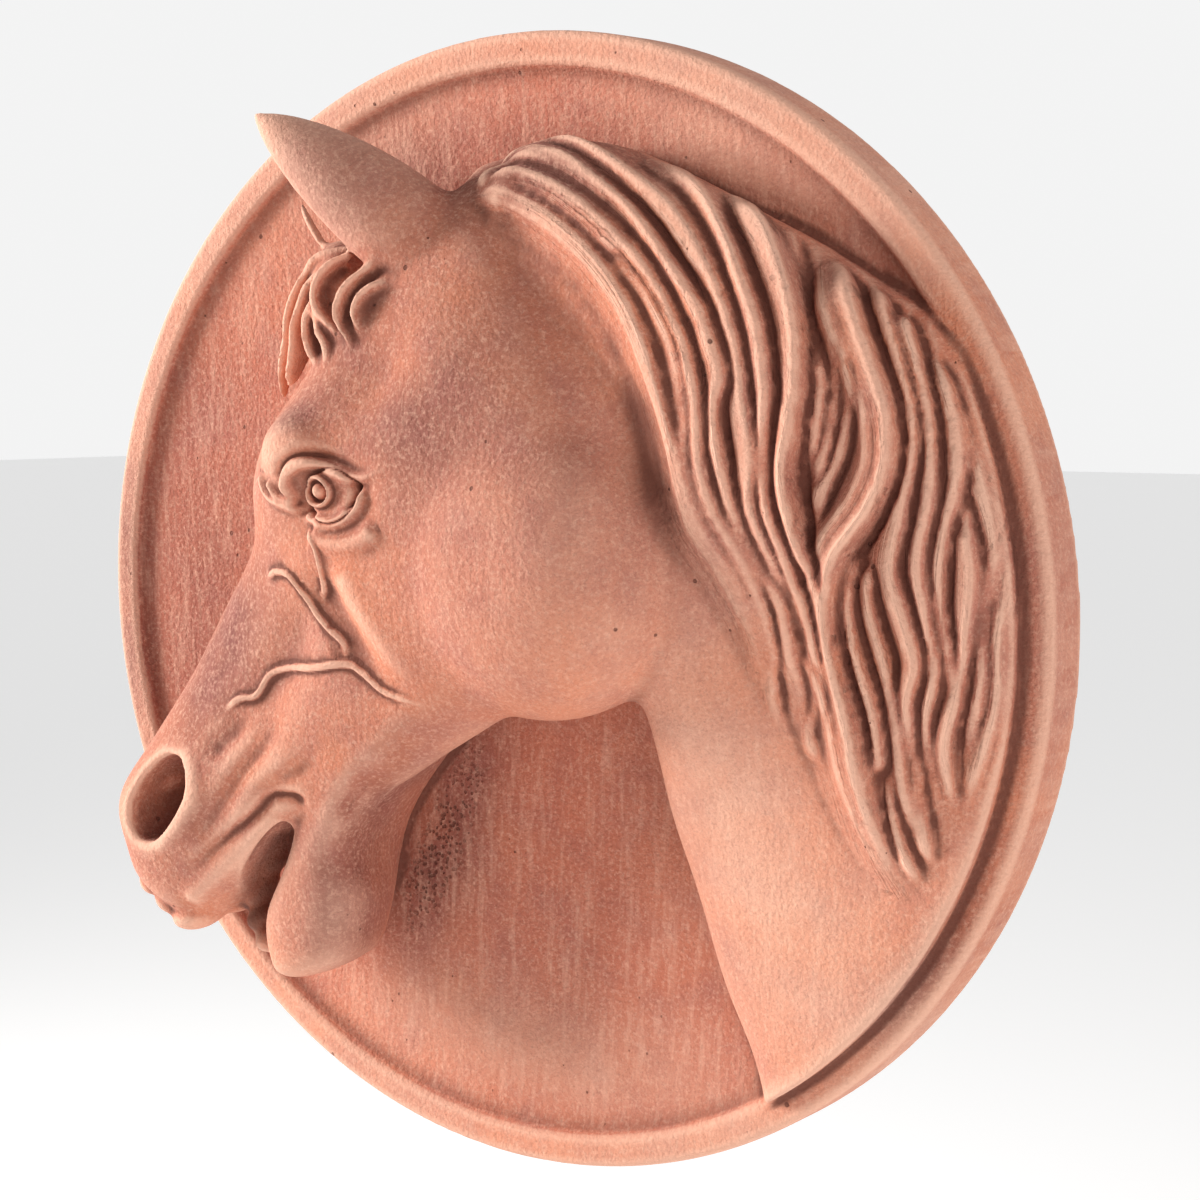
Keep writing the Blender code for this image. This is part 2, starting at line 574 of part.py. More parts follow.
details += [strand("strand", path, FORELOCK_WIDTH, FORELOCK_DEPTH) for path in FORELOCK]
relief = melted(joined("relief", [relief] + [obj.copy() for obj in details]), CLAY_VOXEL, 3)
clear = away_from(relief, details, 0.006)
for obj in details:
    bpy.data.objects.remove(obj)
carve_face(relief, clear)
carve_mane(relief, clear)
cut_away(relief, lip_cutter())

horse_relief = united(make_dish(), thinned(relief, RELIEF_TRIANGLES))
horse_relief.name = "horse_relief"
horse_relief.data.name = "horse_relief"

terracotta = bpy.data.materials.new("terracotta")
terracotta.use_nodes = True
clay = terracotta.node_tree.nodes["Principled BSDF"]
clay.inputs["Base Color"].default_value = TERRACOTTA_COLOUR
clay.inputs["Roughness"].default_value = TERRACOTTA_ROUGHNESS
horse_relief.data.materials.clear()
horse_relief.data.materials.append(terracotta)
horse_relief.data.shade_smooth()
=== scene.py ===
import math

import bmesh
import bpy
import numpy as np
from mathutils import Matrix, Vector
from mathutils.bvhtree import BVHTree


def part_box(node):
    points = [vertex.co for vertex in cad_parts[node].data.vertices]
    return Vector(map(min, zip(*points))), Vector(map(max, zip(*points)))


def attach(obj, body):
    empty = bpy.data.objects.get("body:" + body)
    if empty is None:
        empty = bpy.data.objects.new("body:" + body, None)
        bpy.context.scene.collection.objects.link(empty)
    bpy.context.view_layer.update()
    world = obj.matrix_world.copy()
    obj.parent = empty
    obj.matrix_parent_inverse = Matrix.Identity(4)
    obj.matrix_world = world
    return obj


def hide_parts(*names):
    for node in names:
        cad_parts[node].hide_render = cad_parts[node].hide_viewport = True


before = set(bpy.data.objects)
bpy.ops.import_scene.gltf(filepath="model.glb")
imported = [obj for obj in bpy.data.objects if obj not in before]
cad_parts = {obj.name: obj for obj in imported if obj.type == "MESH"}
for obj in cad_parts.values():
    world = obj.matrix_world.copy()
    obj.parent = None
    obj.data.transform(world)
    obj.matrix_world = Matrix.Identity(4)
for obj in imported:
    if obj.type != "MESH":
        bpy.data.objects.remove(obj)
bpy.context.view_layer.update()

# The relief's size and place
# The whole relief is one pressed and fired piece of clay, hung with its flat back on a wall. Its radius is
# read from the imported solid; across, up and out below are shares of that radius, and out starts at the lip.

solid_low, solid_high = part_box("horse_relief")
SIDE_FLARE = 0.002
DISH_RADIUS = (solid_high.x - solid_low.x) / 2 - SIDE_FLARE
DISH_DEPTH = 0.034

# The dish
# A round dish turned in coarse clay, with a rounded lip, a soft step inside it and a shallow bowl.
# It starts as the flat back and is drawn forward ring by ring along the turned outline.

BACK_EDGE_ROUND = 0.003
LIP_WIDTH = 0.014
LIP_ROUND = 0.0040
STEP_DEPTH = 0.0085
COVE_WIDTH = 0.014
BOWL_DEPTH = 0.016
DISH_SIDES = 192


def deselect_all():
    bpy.ops.object.select_all(action="DESELECT")


def dish_outline():
    """The dish's turned outline from the edge of its back to near its middle in front, as (radius, depth)."""
    lip_in = DISH_RADIUS - LIP_WIDTH
    points = [(DISH_RADIUS + SIDE_FLARE, BACK_EDGE_ROUND)]
    for degrees in range(0, 91, 15):
        turn = math.radians(degrees)
        points.append((DISH_RADIUS - LIP_ROUND + LIP_ROUND * math.cos(turn),
                       DISH_DEPTH - LIP_ROUND + LIP_ROUND * math.sin(turn)))
    for degrees in range(90, -1, -15):
        turn = math.radians(degrees)
        points.append((lip_in - LIP_ROUND * math.cos(turn),
                       DISH_DEPTH - LIP_ROUND + LIP_ROUND * math.sin(turn)))
    cove_foot = lip_in - LIP_ROUND - COVE_WIDTH
    step_foot = DISH_DEPTH - STEP_DEPTH
    for degrees in range(15, 90, 15):
        turn = math.radians(degrees)
        points.append((cove_foot + COVE_WIDTH * math.cos(turn),
                       step_foot + (STEP_DEPTH - LIP_ROUND) * (1 - math.sin(turn))))
    for share in (1.0, 0.95, 0.9, 0.85, 0.8, 0.7, 0.6, 0.5, 0.4, 0.3, 0.2, 0.1):
        points.append((cove_foot * share, step_foot - (BOWL_DEPTH - STEP_DEPTH) * (1 - share ** 4)))
    return points


deselect_all()
radius = DISH_RADIUS + SIDE_FLARE - BACK_EDGE_ROUND
depth = 0.0
bpy.ops.mesh.primitive_circle_add(vertices=DISH_SIDES, radius=radius, fill_type="NGON",
                                  rotation=(math.radians(90), 0, 0), enter_editmode=True)
dish = bpy.context.object
dish.name = "dish"
bpy.ops.mesh.select_all(action="SELECT")
for next_radius, next_depth in dish_outline():
    bpy.ops.mesh.extrude_region_move(TRANSFORM_OT_translate={"value": (0, depth - next_depth, 0)})
    bpy.ops.transform.resize(value=(next_radius / radius, 1, next_radius / radius))
    radius = next_radius
    depth = next_depth
bpy.ops.mesh.select_all(action="SELECT")
bpy.ops.mesh.normals_make_consistent(inside=False)
bpy.ops.object.mode_set(mode="OBJECT")
bpy.ops.object.transform_apply(location=False, rotation=True, scale=False)

# The head, jaw and neck
# Rolls and lumps of clay laid on the dish and rubbed into one smooth mass: the long head, the jaw under it,
# the neck up to the lip on the right, the round jowl, the brow and the forehead.

# Sections of a roll: first edge (across, up), second edge (across, up), middle (out), near depth, far depth,
# squareness (2 is an ellipse), lean of the near side towards the first edge
HEAD = (
    (-0.05, 0.71, 0.36, 0.36, 0.08, 0.12, 0.16, 2.2, 0.0),
    (-0.16, 0.61, 0.36, 0.16, 0.11, 0.15, 0.20, 2.3, 0.0),
    (-0.33, 0.40, 0.28, -0.02, 0.13, 0.16, 0.22, 2.4, 0.0),
    (-0.42, 0.26, 0.16, -0.12, 0.13, 0.16, 0.22, 2.4, 0.1),
    (-0.44, 0.13, 0.07, -0.18, 0.13, 0.14, 0.22, 2.2, 0.1),
    (-0.53, 0.00, -0.03, -0.24, 0.13, 0.13, 0.20, 2.1, 0.0),
    (-0.61, -0.13, -0.14, -0.31, 0.14, 0.12, 0.18, 2.1, 0.0),
    (-0.69, -0.25, -0.27, -0.36, 0.15, 0.13, 0.15, 2.2, 0.0),
    (-0.77, -0.37, -0.39, -0.47, 0.15, 0.14, 0.14, 2.3, 0.1),
    (-0.76, -0.47, -0.53, -0.59, 0.15, 0.11, 0.12, 2.2, 0.0),
)
JAW = (
    (-0.10, -0.00, 0.22, -0.08, 0.13, 0.11, 0.20, 2.2, 0.0),
    (-0.22, -0.18, -0.02, -0.20, 0.13, 0.11, 0.20, 2.2, 0.0),
    (-0.29, -0.33, -0.17, -0.33, 0.14, 0.09, 0.20, 2.5, 0.0),
    (-0.37, -0.46, -0.23, -0.43, 0.14, 0.08, 0.20, 2.8, 0.0),
    (-0.43, -0.58, -0.22, -0.53, 0.14, 0.08, 0.18, 2.8, 0.0),
    (-0.42, -0.68, -0.24, -0.62, 0.14, 0.07, 0.16, 2.6, 0.0),
)
NECK = (
    (0.20, 0.10, -0.05, 0.78, 0.00, 0.16, 0.10, 2.2, 0.1),
    (0.28, -0.03, 0.22, 0.80, 0.00, 0.20, 0.08, 2.3, 0.2),
    (0.31, -0.11, 0.53, 0.66, -0.02, 0.20, 0.06, 2.3, 0.2),
    (0.33, -0.22, 0.72, 0.55, -0.03, 0.17, 0.05, 2.4, 0.2),
    (0.35, -0.34, 0.84, 0.47, -0.04, 0.15, 0.04, 2.5, 0.2),
    (0.39, -0.46, 0.96, 0.29, -0.04, 0.12, 0.04, 2.8, 0.1),
    (0.44, -0.61, 1.02, 0.05, -0.04, 0.10, 0.04, 3.0, 0.1),
    (0.50, -0.74, 1.02, -0.26, -0.04, 0.09, 0.04, 3.0, 0.1),
    (0.54, -0.90, 0.98, -0.55, -0.04, 0.09, 0.04, 3.0, 0.1),
    (0.60, -1.06, 0.96, -0.78, -0.04, 0.09, 0.04, 3.0, 0.1),
)
UNDERCUT = 0.35
ROLL_SIDES = 40
ROLL_STEPS = 6
LUMP_SIDES = 48
MASS_VOXEL = 0.0030
MASS_RUBBING = 28


def smooth_rows(rows, steps):
    """Rows of numbers with extra rows between them, on a smooth curve through all of them."""
    rows = [np.array(row, dtype=float) for row in rows]
    padded = [2 * rows[0] - rows[1]] + rows + [2 * rows[-1] - rows[-2]]
    result = []
    for before, start, end, after in zip(padded, padded[1:], padded[2:], padded[3:]):
        for step in range(steps):
            t = step / steps
            curve = 2 * start + (end - before) * t
            curve = curve + (2 * before - 5 * start + 4 * end - after) * t ** 2
            curve = curve + (3 * start - before - 3 * end + after) * t ** 3
            result.append(curve / 2)
    result.append(rows[-1])
    return result


def skin_over(name, rings):
    """A closed skin over rings of points, with its two ends drawn to a point."""
    bm = bmesh.new()
    loops = [[bm.verts.new(point) for point in ring] for ring in rings]
    for lower, upper in zip(loops, loops[1:]):
        for i in range(len(lower)):
            j = (i + 1) % len(lower)
            bm.faces.new((lower[i], lower[j], upper[j], upper[i]))
    for loop in (loops[0], loops[-1]):
        tip = bm.verts.new(sum((vert.co for vert in loop), Vector()) / len(loop))
        for i in range(len(loop)):
            bm.faces.new((loop[i], loop[(i + 1) % len(loop)], tip))
    bm.normal_update()
    bmesh.ops.recalc_face_normals(bm, faces=bm.faces)
    mesh = bpy.data.meshes.new(name)
    bm.to_mesh(mesh)
    bm.free()
    obj = bpy.data.objects.new(name, mesh)
    bpy.context.collection.objects.link(obj)
    return obj


def place(across, up, out):
    """The point that is this far across, up and out, in shares of the dish's radius."""
    return Vector((across * DISH_RADIUS, -DISH_DEPTH - out * DISH_RADIUS, up * DISH_RADIUS))


def roll_section(row, undercut, scale=1.0, shift=(0.0, 0.0, 0.0)):
    """One rounded section of a roll, narrowed behind by the undercut."""
    x1, y1, x2, y2, middle, near, far, power, lean = row
    ring = []
    for i in range(ROLL_SIDES):
        angle = 2 * math.pi * i / ROLL_SIDES
        along = math.copysign(abs(math.cos(angle)) ** (2 / power), math.cos(angle))
        rise = math.copysign(abs(math.sin(angle)) ** (2 / power), math.sin(angle))
        depth = near if rise > 0 else far
        if rise < 0:
            along = along * (1 - undercut * abs(rise))
        x = (x1 + x2) / 2 + scale * along * (x1 - x2) / 2 + shift[0]
        y = (y1 + y2) / 2 + scale * along * (y1 - y2) / 2 + shift[1]
        z = middle + scale * depth * rise * (1 + lean * along) + shift[2]
        ring.append(place(x, y, z))
    return ring


def clay_roll(name, rows, start_cap, end_cap, undercut=0.0):
    """A roll of clay through its sections, with rounded ends that stand out by the cap lengths."""
    rows = smooth_rows(rows, ROLL_STEPS)
    middles = [np.array(((row[0] + row[2]) / 2, (row[1] + row[3]) / 2, row[4])) for row in rows]
    start_way = (middles[0] - middles[1]) / np.linalg.norm(middles[0] - middles[1])
    end_way = (middles[-1] - middles[-2]) / np.linalg.norm(middles[-1] - middles[-2])
    cap_turns = [math.radians(degrees) for degrees in (80, 62, 44, 24)]
    rings = []
    for turn in cap_turns:
        rings.append(roll_section(rows[0], undercut, math.cos(turn), start_way * start_cap * math.sin(turn)))
    rings += [roll_section(row, undercut) for row in rows]
    for turn in reversed(cap_turns):
        rings.append(roll_section(rows[-1], undercut, math.cos(turn), end_way * end_cap * math.sin(turn)))
    return skin_over(name, rings)


def clay_lump(name, centre, along, across, out, slope_degrees=0.0):
    """A rounded lump of clay, with its long way turned up from the across axis by the slope."""
    deselect_all()
    bpy.ops.mesh.primitive_uv_sphere_add(segments=LUMP_SIDES, ring_count=LUMP_SIDES // 2, radius=DISH_RADIUS,
                                         location=place(*centre), scale=(along, out, across),
                                         rotation=(0, -math.radians(slope_degrees), 0))
    lump = bpy.context.object
    lump.name = name
    bpy.ops.object.transform_apply(location=True, rotation=True, scale=True)
    return lump


def take_up(obj):
    """Selects only this object and makes it the active one."""
    deselect_all()
    obj.select_set(True)
    bpy.context.view_layer.objects.active = obj


def join_up(name, pieces):
    """Makes one object of several, which may still run into each other."""
    take_up(pieces[0])
    for piece in pieces[1:]:
        piece.select_set(True)
    bpy.ops.object.join()
    pieces[0].name = name
    return pieces[0]


def finish_with(obj, kind, **settings):
    """Gives the object one modifier and applies it."""
    take_up(obj)
    modifier = obj.modifiers.new(kind.lower(), kind)
    for name, value in settings.items():
        setattr(modifier, name, value)
    bpy.ops.object.modifier_apply(modifier=modifier.name)


def rub_together(obj, voxel, rubbing):
    """Melts what is joined into one skin of small even faces, and rubs it smooth."""
    finish_with(obj, "REMESH", mode="VOXEL", voxel_size=voxel)
    if rubbing:
        finish_with(obj, "SMOOTH", factor=0.5, iterations=rubbing)


def cut_out(obj, cutter):
    finish_with(obj, "BOOLEAN", operation="DIFFERENCE", object=cutter)
    bpy.data.objects.remove(cutter)


horse = join_up("horse", [
    clay_roll("head", HEAD, 0.05, 0.05, UNDERCUT),
    clay_roll("jaw", JAW, 0.05, 0.03, UNDERCUT),
    clay_roll("neck", NECK, 0.04, 0.05),
    clay_lump("jowl", (0.16, 0.11, 0.11), 0.285, 0.275, 0.205),
    clay_lump("brow", (-0.245, 0.27, 0.16), 0.115, 0.10, 0.14, 20.0),
    clay_lump("forehead", (-0.22, 0.50, 0.11), 0.17, 0.08, 0.10, -66.0),
    clay_lump("poll", (0.03, 0.690, 0.070), 0.14, 0.060, 0.060, 8.0),
])
rub_together(horse, MASS_VOXEL, MASS_RUBBING)

# The nostril and the mouth
# Both are cut into the clay with a wire tool: the nostril is a deep oval with a fold inside it, and the open
# mouth a slot between the lips. Small lobes of the upper lip, the gum and blunt teeth are pressed on.

cut_out(horse, clay_lump("nostril_cut", (-0.600, -0.360, 0.27), 0.098, 0.062, 0.12, 50.0))
cut_out(horse, clay_lump("mouth_cut", (-0.415, -0.502, 0.20), 0.150, 0.033, 0.22, 56.0))
cut_out(horse, clay_lump("forelock_hollow", (-0.275, 0.550, 0.27), 0.09, 0.035, 0.06, 60.0))
MOUTH_LUMPS = (
    ((-0.700, -0.545, 0.19), 0.030, 0.026, 0.035, -50.0),
    ((-0.655, -0.570, 0.19), 0.034, 0.026, 0.040, -60.0),
    ((-0.595, -0.595, 0.18), 0.055, 0.030, 0.050, 20.0),
    ((-0.462, -0.487, 0.125), 0.040, 0.022, 0.050, 50.0),
    ((-0.495, -0.525, 0.13), 0.036, 0.024, 0.050, 50.0),
    ((-0.535, -0.565, 0.13), 0.034, 0.026, 0.050, 55.0),
    ((-0.485, -0.545, 0.12), 0.048, 0.018, 0.040, 68.0),
    ((-0.492, -0.602, 0.12), 0.026, 0.018, 0.040, 80.0),
    ((-0.480, -0.645, 0.11), 0.026, 0.018, 0.040, 110.0),
)
lumps = [clay_lump("mouth_lump", *lump) for lump in MOUTH_LUMPS]
lumps.append(clay_lump("nostril_fold", (-0.690, -0.365, 0.17), 0.070, 0.022, 0.05, 30.0))
horse = join_up("horse", [horse] + lumps)

# The ears and the forelock
# Each ear is a leaf of clay folded into a half tube; the near one stands out of the poll and the far one lies
# against the bowl. Strands of the forelock are thin rolls that hang from between the ears.

EAR_WALL = 0.007
EAR_STATIONS = (-0.30, -0.15, 0.0, 0.08, 0.16, 0.25, 0.35, 0.45, 0.55, 0.65, 0.74, 0.82, 0.88, 0.93, 0.97,
                1.0)


def folded_ear(name, base, tip, facing, width, bulge):
    """A leaf of clay from base to tip, folded so that its back bulges towards the facing direction."""
    base = np.array(base)
    axis = np.array(tip) - base
    facing = np.array(facing)
    length = np.linalg.norm(axis)
    axis = axis / length
    facing = facing - axis * (facing @ axis)
    facing = facing / np.linalg.norm(facing)
    side = np.cross(axis, facing)
    wall = EAR_WALL / DISH_RADIUS
    turns = [math.radians(-105 + 10 * i) for i in range(22)]
    rings = []
    for share in EAR_STATIONS:
        leaf = max(0.10, (1 - abs(share) ** 2.2) ** 0.75)
        middle = base + axis * length * share + facing * 0.06 * share * (1 - share)
        half = width * leaf
        depth = bulge * leaf
        inner = max(0.35, 1 - wall / half)
        ring = [middle + side * half * math.sin(turn) + facing * depth * math.cos(turn) for turn in turns]
        for turn in reversed(turns):
            inset = depth * inner * math.cos(turn) - 0.2 * wall
            ring.append(middle + side * half * inner * math.sin(turn) + facing * inset)
        rings.append([place(*point) for point in ring])
    return skin_over(name, rings)


FORELOCK = (
    ((-0.21, 0.635, 0.14), (-0.283, 0.625, 0.15), (-0.309, 0.595, 0.15), (-0.335, 0.558, 0.15),
     (-0.352, 0.521, 0.15), (-0.357, 0.483, 0.15), (-0.371, 0.452, 0.15), (-0.385, 0.414, 0.15),
     (-0.386, 0.363, 0.15)),
    ((-0.23, 0.610, 0.16), (-0.283, 0.580, 0.17), (-0.309, 0.532, 0.17), (-0.322, 0.495, 0.17),
     (-0.327, 0.457, 0.17), (-0.343, 0.420, 0.17), (-0.354, 0.388, 0.17)),
    ((-0.185, 0.622, 0.19), (-0.215, 0.605, 0.20), (-0.236, 0.582, 0.20), (-0.246, 0.555, 0.20),
     (-0.241, 0.529, 0.20), (-0.217, 0.504, 0.20), (-0.197, 0.479, 0.20), (-0.194, 0.443, 0.19)),
    ((-0.25, 0.575, 0.18), (-0.274, 0.524, 0.19), (-0.275, 0.493, 0.19), (-0.267, 0.456, 0.19),
     (-0.252, 0.431, 0.19), (-0.248, 0.400, 0.19)),
    ((-0.262, 0.535, 0.19), (-0.241, 0.492, 0.20), (-0.222, 0.467, 0.20), (-0.220, 0.431, 0.20),
     (-0.239, 0.400, 0.20)),
    ((-0.115, 0.600, 0.22), (-0.150, 0.575, 0.225), (-0.170, 0.545, 0.225), (-0.175, 0.510, 0.225),
     (-0.160, 0.475, 0.225), (-0.150, 0.450, 0.22)),
    ((-0.090, 0.575, 0.225), (-0.122, 0.555, 0.23), (-0.138, 0.530, 0.23), (-0.142, 0.505, 0.23),
     (-0.128, 0.478, 0.23)),
)
EAR_RIM = ((-0.362, 0.735, 0.13), (-0.345, 0.700, 0.13), (-0.320, 0.664, 0.13), (-0.300, 0.643, 0.13),
           (-0.255, 0.635, 0.13))
STRAND_WIDTH = 0.0085
STRAND_DEPTH = 0.040
STRAND_SIDES = 12
RIM_DEPTH = 0.012
PATH_STEPS = 6


def hair_strand(name, path, depth):
    """A strand of hair as a roll of clay along a path, drawn thin at both ends."""
    line = smooth_rows(path, PATH_STEPS)
    out = np.array((0.0, 0.0, 1.0))
    rings = []
    for i, point in enumerate(line):
        way = line[min(i + 1, len(line) - 1)] - line[max(i - 1, 0)]
        side = np.cross(way, out)
        side = side / np.linalg.norm(side)
        swell = max(0.15, math.sin(math.pi * (0.1 + 0.85 * i / (len(line) - 1))) ** 0.6)
        ring = []
        for k in range(STRAND_SIDES):
            turn = 2 * math.pi * k / STRAND_SIDES
            offset = side * STRAND_WIDTH * math.cos(turn) + out * depth * math.sin(turn)
            ring.append(place(*(point + offset * swell)))
        rings.append(ring)
    return skin_over(name, rings)


ears = [
    folded_ear("near_ear", (-0.045, 0.605, 0.11), (-0.352, 0.860, 0.25), (0.50, 0.32, 0.70), 0.096, 0.078),
    folded_ear("far_ear", (-0.11, 0.62, 0.03), (-0.36, 0.81, 0.05), (0.20, 0.60, 0.60), 0.055, 0.04),
]
strands = [hair_strand("forelock", path, STRAND_DEPTH) for path in FORELOCK]
strands.append(hair_strand("ear_rim", EAR_RIM, RIM_DEPTH))
ear_skins = []
for ear in ears:
    corners = [vert.co.copy() for vert in ear.data.vertices]
    ear_skins.append(BVHTree.FromPolygons(corners, [tuple(face.vertices) for face in ear.data.polygons]))
horse = join_up("horse", [horse] + ears + strands)
FORM_VOXEL = 0.0020
rub_together(horse, FORM_VOXEL, 2)

# The foot of the near ear is thumbed smoothly into the head
EAR_FOOT = ((-0.02, 0.60), (-0.09, 0.545), (-0.03, 0.70), (0.05, 0.67))
FOOT_REACH = 0.10
FOOT_FADE = 0.05
FOOT_LEVEL = 0.10
FOOT_RUBBING = 60
foot = horse.vertex_groups.new(name="ear_foot")
for vert in horse.data.vertices:
    x = vert.co.x / DISH_RADIUS
    y = vert.co.z / DISH_RADIUS
    gap = min(math.hypot(x - middle[0], y - middle[1]) for middle in EAR_FOOT)
    if gap < FOOT_REACH and vert.co.y < -DISH_DEPTH - FOOT_LEVEL * DISH_RADIUS:
        foot.add([vert.index], min(1.0, (FOOT_REACH - gap) / FOOT_FADE), "REPLACE")
finish_with(horse, "SMOOTH", factor=0.5, iterations=FOOT_RUBBING, vertex_group="ear_foot")

# The neck's cut edge
# The neck and mane run out to the dish's lip and are trimmed along it with a knife, which leaves a low
# upright wall and a narrow groove beside the lip.

NECK_EDGE_RADIUS = 0.285
CUT_REACH = 0.15
CUT_START = -100
CUT_STEP = 2.5
CUT_STEPS = 69
turns = [math.radians(CUT_START + CUT_STEP * i) for i in range(CUT_STEPS)]
loops = []
for turn in turns:
    corners = ((NECK_EDGE_RADIUS, -CUT_REACH), (NECK_EDGE_RADIUS, CUT_REACH),
               (DISH_RADIUS * 1.5, CUT_REACH), (DISH_RADIUS * 1.5, -CUT_REACH))
    loops.append([(r * math.cos(turn), y, r * math.sin(turn)) for r, y in corners])
cut_out(horse, skin_over("lip_knife", loops))

relief = join_up("clay_relief", [horse, dish])
CLAY_VOXEL = 0.0017
rub_together(relief, CLAY_VOXEL, 1)
relief.data.materials.clear()

# The mane
# Locks of hair modelled on the neck like folds of cloth. Each has a sharp crest, a steep fall into a dark cut
# on its left and a long slope down to the next lock on its right.

LOCK_EDGE = 0.013
LOCK_SHIFT = 0.45
LOCK_REACH = 0.12
ROOT_TAPER = 0.11
TIP_TAPER = 0.22
END_WIDTH = 0.45
SLOPE_STRETCH = 1.35
FOLD_HEIGHT = 0.15
FOLD_WIDTH = 0.10
OVERLAP = 0.0004
CUT_DEPTH = 0.35
LIP_GAP = 0.02
EAR_SIDE = 0.015
EAR_GAP = 0.001
EAR_GAP_FADE = 0.006
LIFT_OUTWARD = 0.55
LIFT_FORWARD = 0.45
HAIR_VOXEL = 0.0016
